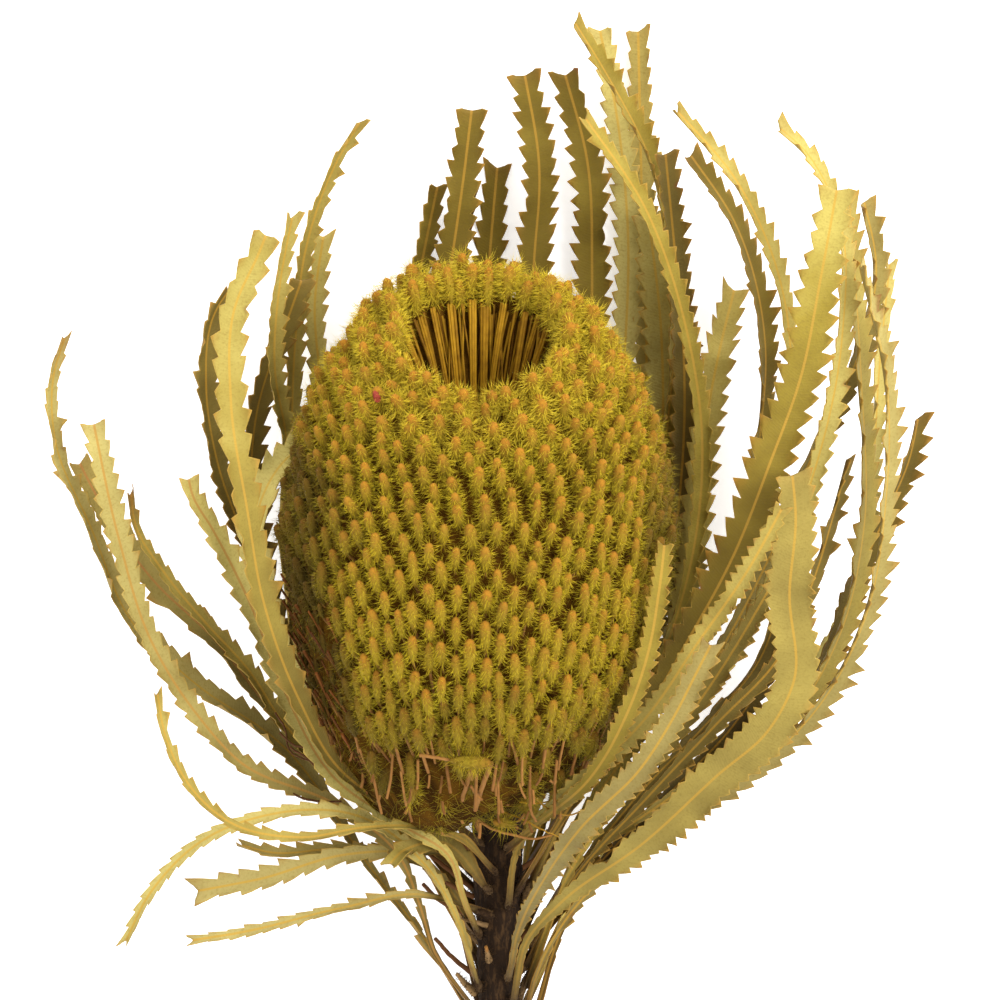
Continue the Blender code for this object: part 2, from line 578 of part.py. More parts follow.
def main():
    for existing in list(bpy.data.objects):
        bpy.data.objects.remove(existing, do_unlink=True)
    collection = bpy.data.collections.new("dried_banksia_flower")
    bpy.context.scene.collection.children.link(collection)
    add_part(collection, "stem", stem_mesh(), make_material("stem_wool", STEM_COLOUR, 0.9))
    add_part(collection, "flower_head", head_mesh(), make_material("florets", HEAD_COLOUR, 0.85))
    leaves = [Leaf(row) for row in LEAVES]
    part_leaves(leaves)
    for leaf in leaves:
        material = make_material(leaf.name, LEAF_COLOUR, 0.6)
        add_part(collection, leaf.name, Blade(leaf).build(), material)


main()
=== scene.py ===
"""Looks of the dried banksia flower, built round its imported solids.

Sizes are in millimetres until a mesh is made. Directions: across to the right and up towards the crown, as
the camera sees them, and depth towards it. The head and stem use across, front and axial, which run along
the flower's own axis.
"""

import math

import bpy
import numpy as np
from mathutils import Matrix


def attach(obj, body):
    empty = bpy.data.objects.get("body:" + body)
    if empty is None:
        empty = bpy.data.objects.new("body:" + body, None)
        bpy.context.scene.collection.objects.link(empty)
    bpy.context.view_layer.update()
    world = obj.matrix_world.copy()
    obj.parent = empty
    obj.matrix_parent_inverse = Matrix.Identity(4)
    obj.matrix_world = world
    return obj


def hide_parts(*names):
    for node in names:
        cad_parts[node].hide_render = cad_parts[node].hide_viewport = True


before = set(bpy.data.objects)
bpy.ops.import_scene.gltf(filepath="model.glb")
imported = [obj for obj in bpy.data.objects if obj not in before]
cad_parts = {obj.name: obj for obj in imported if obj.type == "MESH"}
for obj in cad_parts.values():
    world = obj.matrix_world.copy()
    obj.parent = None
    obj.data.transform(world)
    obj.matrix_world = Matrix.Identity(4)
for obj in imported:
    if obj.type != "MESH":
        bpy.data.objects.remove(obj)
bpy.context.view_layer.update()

METRE = 0.001  # one millimetre in metres

# The flower's driving dimensions, the same as in its source
VIEW = 32.0
HEAD_HEIGHT = 45.0
HEAD_RADIUS = 40.5
HEAD_HALF_LENGTH = 59.5
HEAD_CLEARANCE = 1.2
STEM_END = 190.0
STEM_RADIUS = 4.3
STEM_NECK_RADIUS = 5.4
STEM_SHIFT = 4.0
SEAT = 0.3
BLADE = 1.2
TIP_HORN = 2.2
PETIOLE_WIDTH = 1.8
SAMPLES = 48
CLEARANCE = 0.4
SETTLING_STEPS = 300

TILT = math.degrees(
    math.asin(HEAD_HEIGHT / math.hypot(STEM_END, STEM_RADIUS)) - math.atan(STEM_RADIUS / STEM_END)
)
SIN_VIEW = math.sin(math.radians(VIEW))
COS_VIEW = math.cos(math.radians(VIEW))
TAN_VIEW = SIN_VIEW / COS_VIEW
SIN_TILT = math.sin(math.radians(TILT))
COS_TILT = math.cos(math.radians(TILT))
SIN_LOOK = math.sin(math.radians(VIEW - TILT))
COS_LOOK = math.cos(math.radians(VIEW - TILT))

IN_FRONT = 1
BEHIND = -1

# Finer sizes that only the looks have
TOOTH = 3.8  # from one tooth of a leaf to the next
NOTCH = 0.56  # the share of a leaf's half width that its notches leave
LEAF_THICKNESS = 0.42
RIB_HALF_WIDTH = 0.3
RIB_HEIGHT = 0.34
VEIN_PITCH = 0.62
SWAY = 17.0  # degrees, how far a leaf's face wanders
CURL = 0.15  # radians, how far a half bends up by its margin, and how far that varies
WAVE = 0.3
CUP = 0.35  # how far the teeth stand up
BLADE_LIFT = 0.32  # from the source's line to the middle of the fine blade
LOWEST = 0.02  # leaves stay this far above the floor
CURVE_STEPS = 260

HEAD_CENTRE = np.array([0.0, 0.0, HEAD_HEIGHT])
FLORET_PITCH = 2.9  # between columns
FLORET_RISE = 4.2  # half of the step in a column
FLORET_LENGTH = 7.9
FLORET_GIRTH = 1.2
FLORET_SIDES = 6
# A floret from its foot to its tip: radius and height as shares of the girth and length, and how fuzzy it is
FLORET_PROFILE = (
    (0.24, 0.0, 0.5), (0.52, 0.12, 1.0), (0.88, 0.32, 1.1), (1.0, 0.54, 1.1), (0.93, 0.78, 1.0),
    (0.66, 0.94, 0.75), (0.2, 1.0, 0.2),
)
FALLEN_FLORET = ((-5.6, -43.8, 34.4), (2.4, -44.4, 33.8))  # across, up and front of its foot and its tip
FLORET_SHELL_RADIUS = 37.8  # where the florets' middles stand
FLORET_SHELL_HALF = 55.0
SHELL_START = -74.0  # degrees from the waist, where the lowest row stands
CORE_RADIUS = 34.6
CORE_HALF_LENGTH = 51.5
CORE_START = -76.0
CORE_SIDES = 96
HANGING_END = 54.0  # how far below the head's middle its lowest stalks reach
CROWN_START = 50.0  # degrees above the waist, where the shell turns over into the crown's lip
CROWN_SLUMP = 3.2  # the front of the lip stands lower than the back
FUNNEL_MOUTH = 16.6
FUNNEL_THROAT = 5.0
FUNNEL_TOP = 42.0
FUNNEL_FLOOR = 14.0
BUNDLES = 26  # of ribbed tubes in the funnel
SINGLE_TUBES = 190

HAIR_RADIUS = 0.058
HAIR_FACES = ((0, 2, 1), (0, 1, 3), (1, 2, 3), (2, 0, 3))
MOST_TRIANGLES = 180000  # in one piece
STEM_TOP = -50.0  # inside the head
STEM_SIDES = 36
CUT_SIDES = 28
FLARE_LENGTH = 5.0  # of the wool where a leaf meets the stem
FLARE_GIRTHS = (0.3, 0.7, 0.92, 0.86, 0.66, 0.3)

WHITE = (1.0, 1.0, 1.0, 1.0)
STUDIO_LIGHT = 1.85  # how much brighter than white paper the studio lights a white thing
FLOOR_HALF = 3000.0
IMAGE_WIDTH = 200.0  # the photograph's frame, across the flower
CAMERA_DISTANCE = 3000.0
SENSOR = 36.0
VIEW_CENTRE = (4.4, 8.0)

# How a leaf looks where its own row doesn't say otherwise: shade is darker and khaki greyer as they grow.
# Shade is partly a leaf's own tone, from pale khaki to dark olive, and partly painted shade and painted
# light that stand in for the lamps' shadow and light on it; shade_tip and shade_power paint the same along
# the leaf towards its tip.
USUAL = dict(
    pitch=TOOTH, notch=1.0, lean=0.84, hook=1.3, bare=0.11, ruffle=0.75, withered=0.02, shade=0.35,
    shade_tip=-0.1, shade_power=1.0, tip_width=1.0, face=0.0, neck=0.62, blush=0.0, khaki=0.3,
)

# Each leaf: which side of the head and stem it passes, width, the turn of its face away from the eye at its
# base and its tip, the fold of each half, its front at its middle and its tip, its looks, and its stations.

# The sheaf that arches up on the left of the head
LEFT_LEAVES = (
    (BEHIND, 7, (30, 45), 15, (-12, -10), dict(shade=0.4, shade_tip=-0.3, withered=0.05, tip_width=0.5,
     ruffle=0.9, notch=1.2, khaki=0.7),
     ((0, -100), (-11, -82), (-23, -66), (-40, -42), (-58, -29), (-70, -17), (-78, 2), (-85, 20),
      (-85, 33), (-82, 42))),
    (IN_FRONT, 5, (20, 40), 15, (2, -4), dict(shade=0.75, shade_tip=-0.9, tip_width=1.5, face=-35.0,
     blush=0.4, khaki=0.6),
     ((0, -97), (-9, -84), (-12, -74), (-16, -64), (-28, -54), (-48, -45), (-57, -35), (-66, -20),
      (-72, 0), (-77, 25))),
    (BEHIND, 6, (20, 30), 20, (-16, -18), dict(shade=0.6, shade_tip=-0.4, withered=0.03, tip_width=1.2,
     pitch=5.2, notch=1.3, blush=0.8, khaki=0.6),
     ((0, -72), (-11, -62), (-26, -52), (-40, -38), (-54, -20), (-66, -8), (-77, 9), (-81, 17))),
    (BEHIND, 5, (20, 35), 20, (-8, -9), dict(shade=0.6, shade_tip=-0.4, withered=0.07, tip_width=0.6,
     ruffle=0.9),
     ((0, -67), (-12, -60), (-26, -50), (-39, -38), (-47, -26), (-55, -17), (-63, -7), (-69, 3),
      (-70, 11))),
    (IN_FRONT, 6, (10, 25), 15, (14, 10), dict(shade=-0.12, pitch=4.4, blush=0.6),
     ((0, -80), (-3, -73), (-6, -64), (-15, -58), (-29, -48), (-39, -30), (-46, -12), (-53, 2),
      (-57, 9), (-58, 14))),
    (IN_FRONT, 8, (5, 10), 10, (22, 8), dict(shade=0.8, shade_tip=-0.78, pitch=5.4, lean=0.8, khaki=0.2),
     ((0, -61), (-6, -57), (-14, -55), (-28, -46), (-36, -32), (-43, -12), (-46, 6), (-49, 28),
      (-48, 46), (-43, 57), (-41, 62))),
    (BEHIND, 7, (20, 45), 20, (-22, -28), dict(shade=0.7),
     ((1, -68), (-20, -52), (-38, -25), (-46, -4), (-53, 16), (-55, 30), (-53, 46), (-49, 52))),
    (BEHIND, 8, (20, 30), 10, (-30, -38), dict(shade=0.8, shade_tip=-0.3, shade_power=3.0, pitch=4.4),
     ((0, -76), (-15, -58), (-32, -38), (-42, -15), (-46, 5), (-45, 26), (-38, 46), (-35, 54))),
    (BEHIND, 5, (20, 40), 20, (-21, -22), dict(shade=0.25),
     ((0, -82), (-20, -54), (-36, -25), (-40, 0), (-39, 20), (-41, 34), (-40, 50), (-37, 66))),
    (BEHIND, 6, (20, 45), 25, (-36, -40), dict(shade=0.5, shade_tip=-0.3, tip_width=0.7),
     ((0, -86), (-18, -54), (-32, -28), (-38, 0), (-38, 22), (-37, 42), (-35, 58), (-28, 77),
      (-23, 85))),
    (BEHIND, 6, (10, 25), 15, (-44, -50), dict(shade=0.05),
     ((1, -90), (-10, -62), (-24, -40), (-32, -15), (-34, 10), (-32, 30), (-33, 48), (-31, 63))),
    (BEHIND, 8, (10, 15), 10, (-3, -3), dict(shade=-0.4, face=-45.0, tip_width=1.3),
     ((-1, -68), (-20, -52), (-35, -32), (-43, -10), (-44, 5), (-40, 14), (-34, 20))),
)
# The leaves that sprawl to the lower left
LOW_LEAVES = (
    (IN_FRONT, 3, (10, 40), 15, (22, 6), dict(shade=0.26),
     ((3, -67), (-4, -60), (-12, -58), (-22, -58), (-36, -60), (-50, -57), (-58, -50), (-63, -40),
      (-65, -29))),
    (IN_FRONT, 4, (10, 25), 20, (12, 5), dict(shade=0.0, tip_width=0.8, khaki=0.5),
     ((0, -91), (-4, -78), (-10, -67), (-24, -56), (-44, -56), (-56, -61), (-66, -71), (-72, -83))),
    (BEHIND, 4, (10, 25), 25, (-7, -8), dict(shade=0.4, khaki=0.6),
     ((0, -80), (-11, -66), (-28, -63), (-42, -64), (-50, -62))),
    (BEHIND, 5, (10, 10), 10, (0, -4), dict(shade=0.22, khaki=0.8, tip_width=1.5, pitch=4.8, notch=0.95),
     ((0, -64), (-12, -63), (-28, -64), (-44, -69), (-59, -72))),
    (IN_FRONT, 3, (10, 30), 15, (8, 2), dict(shade=0.2, khaki=0.8),
     ((2, -76), (-12, -72), (-28, -75), (-44, -79), (-60, -82))),
    (IN_FRONT, 5, (10, 10), 10, (13, 16), dict(shade=0.3),
     ((2, -71), (-8, -61), (-15, -63), (-19, -67))),
)
# The sheaf that arches up on the right
RIGHT_LEAVES = (
    (IN_FRONT, 6, (10, 20), 10, (24, 16), dict(shade=0.2, shade_tip=0.0, pitch=2.4, lean=0.6, hook=0.6,
     notch=0.85, tip_width=0.9, bare=0.05, neck=0.85),
     ((6, -74), (8, -62), (16, -52), (24, -45), (32, -37), (44, -20), (53, -7), (61, 8))),
    (IN_FRONT, 7, (15, 10), 15, (33, 30), dict(shade=0.5, bare=0.06, neck=0.9, pitch=2.6, notch=1.1,
     khaki=0.7),
     ((6, -89), (8, -79), (13, -68), (20, -58), (32, -46), (39, -35), (43, -27), (47, -19))),
    (IN_FRONT, 11, (10, 5), 8, (20, 22), dict(shade=0.38, shade_tip=-0.1, lean=0.7, notch=1.25, bare=0.05,
     neck=0.9, pitch=2.8, khaki=0.35),
     ((7, -94), (10, -81), (17, -73), (33, -61), (48, -47), (58, -38), (63, -28), (62, -11),
      (63, 5), (62, 15))),
    (BEHIND, 7, (20, 50), 20, (2, -6), dict(shade=0.6, khaki=0.7, face=28.0, shade_tip=-0.5),
     ((10, -99), (12, -87), (19, -75), (30, -64), (44, -54), (57, -45), (69, -32), (77, -16),
      (81, 8), (81, 30), (75, 56))),
    (BEHIND, 7, (20, 30), 30, (-10, -8), dict(shade=0.76),
     ((9, -87), (14, -76), (24, -62), (32, -52), (45, -38), (57, -23), (60, -15))),
    (BEHIND, 8, (20, 30), 15, (-10, -14), dict(shade=0.5, face=30.0, shade_tip=-0.3),
     ((10, -83), (20, -66), (36, -54), (52, -43), (64, -34), (72, -20), (77, 3), (76, 32),
      (74, 58), (73, 69))),
    (IN_FRONT, 11, (10, 5), 8, (13, 2), dict(shade=0.72, shade_tip=-0.94, shade_power=3.5, lean=0.86,
     pitch=4.4, notch=0.92, khaki=0.0),
     ((8, -71), (19, -53), (32, -37), (42, -20), (51, -3), (58, 15), (64, 32), (68, 53), (71, 71))),
    (BEHIND, 5, (20, 45), 20, (-2, -16), dict(shade=0.25),
     ((10, -72), (22, -48), (37, -32), (47, -17), (57, 6), (62, 30), (59, 54), (51, 71), (38, 86))),
    (BEHIND, 7, (20, 35), 20, (-20, -28), dict(shade=0.65, khaki=0.1),
     ((9, -76), (22, -48), (36, -32), (46, -16), (53, 2), (56, 20), (57, 40), (51, 63), (41, 78))),
    (BEHIND, 8, (10, 15), 10, (-36, -46), dict(shade=0.24, khaki=0.25),
     ((7, -84), (19, -60), (31, -42), (39, -22), (43, -4), (45, 18), (48, 36), (52, 52))),
    (BEHIND, 6, (20, 40), 25, (-6, -10), dict(shade=0.1),
     ((10, -91), (17, -70), (30, -50), (46, -30), (58, -10), (67, 14), (72, 40), (71, 64),
      (64, 77), (58, 82))),
    (BEHIND, 7, (20, 40), 25, (-18, -20), dict(shade=0.66, khaki=0.6, shade_tip=-0.3),
     ((8, -94), (20, -64), (36, -42), (50, -20), (59, -2), (68, 20), (76, 38), (79, 54), (76, 69))),
    (BEHIND, 5, (20, 40), 20, (-22, -24), dict(shade=-0.25),
     ((8, -98), (24, -66), (42, -50), (58, -38), (69, -24), (76, -8), (79, 14), (80, 34), (82, 57))),
    (BEHIND, 7, (20, 45), 20, (-16, -18), dict(shade=0.85, khaki=0.1),
     ((9, -104), (22, -70), (40, -55), (56, -42), (68, -28), (76, -8), (82, 6), (86, 16), (88, 26))),
    (BEHIND, 5, (20, 50), 20, (-9, -10), dict(shade=0.7),
     ((10, -87), (19, -69), (34, -52), (48, -37), (60, -24), (67, -8), (71, 6), (74, 18))),
    (IN_FRONT, 5, (10, 10), 10, (26, 24), dict(shade=0.4, khaki=0.0, pitch=2.4),
     ((6, -62), (12, -57), (22, -48), (30, -34), (34, -22), (36, -10), (37, 1))),
    (BEHIND, 6, (20, 30), 30, (-18, -16), dict(shade=0.9),
     ((8, -88), (16, -76), (28, -62), (42, -48), (52, -37), (58, -27), (60, -18))),
    (BEHIND, 5, (15, 30), 20, (2, -2), dict(shade=0.6),
     ((10, -77), (15, -66), (26, -54), (38, -41), (46, -30), (53, -19), (59, -8), (63, 1))),
)
# The leaves behind the head
BACK_LEAVES = (
    (BEHIND, 6, (0, 10), 10, (-46, -54), dict(shade=0.68, khaki=0.05),
     ((0, -94), (-8, -60), (-16, -30), (-19, 0), (-17, 30), (-12, 54), (-8, 73))),
    (BEHIND, 9, (0, 0), 8, (-44, -50), dict(shade=0.65, khaki=0.05),
     ((1, -74), (-7, -45), (-11, -10), (-10, 25), (-6, 52), (-3, 72), (-1, 88))),
    (BEHIND, 6, (0, 0), 5, (-50, -60), dict(shade=1.1, khaki=0.0),
     ((3, -79), (-2, -50), (-8, -20), (-9, 15), (-5, 52), (-1, 74))),
    (BEHIND, 8, (0, 0), 0, (-52, -60), dict(shade=0.7, khaki=0.0),
     ((4, -84), (3, -50), (1, -20), (0, 15), (2, 52), (4, 77))),
    (BEHIND, 9, (0, 0), 8, (-44, -50), dict(shade=0.66, khaki=0.05),
     ((4, -72), (9, -40), (12, -5), (12, 25), (11, 54), (12, 76), (9, 95))),
    (BEHIND, 9, (0, 0), 8, (-46, -52), dict(shade=0.6, khaki=0.05),
     ((5, -77), (13, -44), (20, -10), (22, 25), (23, 54), (22, 76), (17, 95))),
    (BEHIND, 7, (10, 40), 30, (-40, -38), dict(shade=0.36, khaki=0.05),
     ((5, -83), (13, -58), (24, -32), (34, -4), (38, 24), (39, 52), (34, 76), (25, 93), (18, 104))),
    (BEHIND, 7, (0, 10), 8, (-50, -58), dict(shade=0.3, khaki=0.4, shade_tip=-0.5),
     ((7, -93), (11, -58), (18, -30), (26, 0), (29, 30), (30, 64), (28, 84), (24, 104))),
    (BEHIND, 7, (0, 10), 8, (-54, -62), dict(shade=0.34, khaki=0.5),
     ((6, -101), (12, -70), (22, -38), (31, -2), (34, 34), (33, 66), (32, 104))),
    (BEHIND, 5, (20, 40), 20, (-24, -22), dict(shade=0.28, khaki=0.05),
     ((8, -69), (20, -50), (34, -30), (42, -8), (45, 18), (41, 44), (33, 66), (20, 85))),
    (BEHIND, 9, (10, 5), 8, (-44, -52), dict(shade=0.15),
     ((7, -86), (15, -60), (26, -36), (34, -12), (37, 14), (37, 42), (34, 67))),
    (BEHIND, 7, (10, 30), 15, (-38, -44), dict(shade=0.75),
     ((9, -73), (19, -52), (30, -32), (38, -8), (41, 16), (41, 40), (39, 60), (37, 79))),
)


def ease(x):
    """0 to 1 with a soft start and end."""
    x = np.clip(x, 0.0, 1.0)
    return x * x * (3.0 - 2.0 * x)


def unit(vectors):
    return vectors / np.linalg.norm(vectors, axis=-1, keepdims=True)


def distances(path):
    """How far along the path each of its points lies."""
    return np.concatenate([[0.0], np.cumsum(np.linalg.norm(np.diff(path, axis=0), axis=1))])


def resampled(places, known, values):
    """The values at these places, read off between the places where they are known."""
    return np.stack([np.interp(places, known, column) for column in values.T], axis=-1)


def smooth_curve(stations, count):
    """A smooth curve through the stations, sampled at even steps of its length."""
    stations = np.array(stations, float)
    knots = distances(stations)
    slopes = np.gradient(stations, knots, axis=0)
    places = np.linspace(0.0, knots[-1], 12 * count)
    first = np.clip(np.searchsorted(knots, places, side="right") - 1, 0, len(knots) - 2)
    span = (knots[first + 1] - knots[first])[:, None]
    t = (places - knots[first])[:, None] / span
    curve = (
        (2 * t**3 - 3 * t**2 + 1) * stations[first]
        + (t**3 - 2 * t**2 + t) * span * slopes[first]
        + (3 * t**2 - 2 * t**3) * stations[first + 1]
        + (t**3 - t**2) * span * slopes[first + 1]
    )
    lengths = distances(curve)
    return resampled(np.linspace(0.0, lengths[-1], count), lengths, curve)


def to_part(seen):
    """(across, up, depth) as the eye sees them, turned into the part's X, Y and Z."""
    across, up, depth = seen[..., 0], seen[..., 1], seen[..., 2]
    return np.stack(
        [across, up * COS_LOOK + depth * SIN_LOOK, HEAD_HEIGHT - up * SIN_LOOK + depth * COS_LOOK], axis=-1
    )


def along_axis(across, front, axial):
    """A point given in the flower's own directions, turned into the part's X, Y and Z."""
    return (
        across,
        axial * COS_TILT - front * SIN_TILT,
        HEAD_HEIGHT + axial * SIN_TILT + front * COS_TILT,
    )


def stem_radius(axial):
    """The stem thickens towards the head."""
    return STEM_RADIUS + (STEM_NECK_RADIUS - STEM_RADIUS) * ease((axial + 110.0) / 50.0)


def half_width(share, width):
    """Half a leaf's width at this share of its length: a narrow petiole, then a long strap."""
    full = PETIOLE_WIDTH + (width - PETIOLE_WIDTH) * ease((share - 0.04) / 0.5)
    return 0.5 * full * (1.0 - 0.2 * ease((share - 0.85) / 0.15))


def depth_limits(across, up, side, reach):
    """The lowest and highest depth that a leaf may have here: above the surface, clear of head and stem."""
    lowest = (up * SIN_LOOK - HEAD_HEIGHT) / COS_LOOK
    highest = np.full(len(across), np.inf)
    radius = HEAD_RADIUS + HEAD_CLEARANCE
    half_length = HEAD_HALF_LENGTH + HEAD_CLEARANCE
    square = COS_VIEW**2 / radius**2 + SIN_VIEW**2 / half_length**2
    linear = 2.0 * up * SIN_VIEW * COS_VIEW * (1.0 / half_length**2 - 1.0 / radius**2)
    constant = up**2 * (SIN_VIEW**2 / radius**2 + COS_VIEW**2 / half_length**2)
    constant = constant + (across / radius) ** 2 - 1.0
    inside = linear**2 - 4.0 * square * constant
    half = np.sqrt(np.maximum(inside, 0.0))
    meets = inside > 0.0
    if side == IN_FRONT:
        lowest = np.where(meets, np.maximum(lowest, (-linear + half) / (2.0 * square) + reach), lowest)
    else:
        highest = np.where(meets, (-linear - half) / (2.0 * square) - reach - BLADE, highest)
    clear = STEM_NECK_RADIUS + SEAT + 0.5 * PETIOLE_WIDTH
    beside = np.sqrt(np.maximum(clear**2 - (across - STEM_SHIFT) ** 2, 0.0))
    crosses = (np.abs(across - STEM_SHIFT) < clear) & (up < -50.0)
    stem_depth = (side * beside + up * SIN_VIEW) / COS_VIEW
    if side == IN_FRONT:
        lowest = np.where(crosses, np.maximum(lowest, stem_depth), lowest)
    else:
        highest = np.where(crosses, np.minimum(highest, stem_depth), highest)
    return lowest, np.maximum(highest, lowest)


class Leaf:
    """One leaf's path and the frame that its blade follows."""

    def __init__(self, name, row):
        self.name = name
        self.side, self.width, self.turn, self.fold, fronts, self.looks, stations = row
        flat = smooth_curve(self.seated(stations), SAMPLES)
        self.across, self.up = flat.T
        self.share = np.linspace(0.0, 1.0, SAMPLES)
        self.layer = fronts[0]
        self.half = half_width(self.share, self.width)
        self.turns = np.radians(self.turn[0] + (self.turn[1] - self.turn[0]) * self.share)
        self.wish = self.up * TAN_VIEW + self.front_along(fronts) / COS_VIEW
        self.seen_half = self.half * np.maximum(np.cos(self.turns), 0.4)
        self.reach = self.half * (np.abs(np.sin(self.turns)) + 0.5 * math.sin(math.radians(self.fold)))
        self.lowest, self.highest = depth_limits(self.across, self.up, self.side, self.reach)
        self.lowest[0] = self.highest[0] = self.wish[0]
        self.depth = np.clip(self.wish, self.lowest, self.highest)

    def seated(self, stations):
        """The stations with the first one moved onto the stem's skin."""
        across, up = stations[0]
        skin = stem_radius((up - 2.0) / COS_VIEW) + SEAT
        turned = min(abs(across - STEM_SHIFT) / (skin + 0.5 * PETIOLE_WIDTH), 1.0)
        radius = skin + 0.33 * PETIOLE_WIDTH * turned
        if self.side == BEHIND:
            radius += 0.55 * BLADE * math.sqrt(1.0 - turned**2)
        offset = float(np.clip(across - STEM_SHIFT, -radius, radius))
        self.base_front = self.side * math.sqrt(radius**2 - offset**2)
        return ((STEM_SHIFT + offset, up),) + stations[1:]

    def front_along(self, fronts):
        """The leaf's front, from the stem's skin through its middle to its tip."""
        leaving = (ease(0.1 + self.share / 0.55) - ease(0.1)) / (1.0 - ease(0.1))
        first = self.base_front + (fronts[0] - self.base_front) * leaving
        return first + (fronts[1] - fronts[0]) * ease((self.share - 0.4) / 0.6)

    def relax(self, push, softness):
        """Moves the path in depth, softly along its length and within its limits."""
        depth = self.depth + push
        inner = 0.25 * depth[:-2] + 0.5 * depth[1:-1] + 0.25 * depth[2:]
        depth[1:-1] += softness * (inner - depth[1:-1])
        self.depth = np.clip(depth, self.lowest, self.highest)

    def frames(self):
        """Centre, direction, across and outward vectors of the blade, in the part's directions."""
        centre = to_part(np.stack([self.across, self.up, self.depth], axis=1))
        along = unit(np.gradient(centre, axis=0))
        eye = np.array([0.0, SIN_LOOK, COS_LOOK])
        facing = unit(eye - (along @ eye)[:, None] * along)
        sideways = np.cross(along, facing)
        out = np.cos(self.turns)[:, None] * facing + np.sin(self.turns)[:, None] * sideways
        near_floor = (1.0 - ease((centre[:, 2] - 0.5) / 6.0))[:, None]
        level = unit(np.array([0.0, 0.0, 1.0]) - along * along[:, 2:3])
        out = unit(out * (1.0 - near_floor) + level * near_floor)
        return centre, np.cross(along, out), out


def crossings(leaves):
    """Where one leaf's path runs over or under another's, as seen, and how far apart in depth they lie."""
    found = []
    for a, leaf in enumerate(leaves):
        path = np.stack([leaf.across, leaf.up], axis=1)
        for b, other in enumerate(leaves):
            if a == b:
                continue
            start = np.stack([other.across, other.up], axis=1)
            step = np.diff(start, axis=0)
            offset = path[:, None, :] - start[None, :-1, :]
            share = np.clip((offset * step).sum(axis=2) / (step**2).sum(axis=1), 0.0, 1.0)
            apart = np.linalg.norm(offset - share[:, :, None] * step, axis=2)
            nearest = apart.argmin(axis=1)
            rows = np.arange(SAMPLES)
            share = share[rows, nearest]
            reach = leaf.seen_half + other.seen_half[nearest]
            close = apart[rows, nearest] < reach + 0.8
            if not close.any():
                continue
            order = 1.0 if (leaf.layer, a) > (other.layer, b) else -1.0
            need = leaf.reach + other.reach[nearest] + BLADE + CLEARANCE
            for row in rows[close]:
                found.append((a * SAMPLES + row, b * SAMPLES + nearest[row], share[row], need[row], order))
    return [np.array(column) for column in zip(*found)]


def part_leaves(leaves):
    """Moves leaves that cross apart along the line of sight, so that each keeps its place as seen."""
    first, second, share, need, order = crossings(leaves)
    for step in range(SETTLING_STEPS):
        softness = 0.5 * max(0.0, 1.0 - 1.5 * step / SETTLING_STEPS)
        depth = np.concatenate([leaf.depth for leaf in leaves])
        gap = depth[first] - (1.0 - share) * depth[second] - share * depth[second + 1]
        short = np.maximum(need - gap * order, 0.0) * 0.5 * order
        rise = np.zeros(len(depth))
        sink = np.zeros(len(depth))
        np.maximum.at(rise, first, short)
        np.minimum.at(sink, first, short)
        for leaf, push in zip(leaves, np.split(rise + sink, len(leaves))):
            leaf.relax(push, softness)


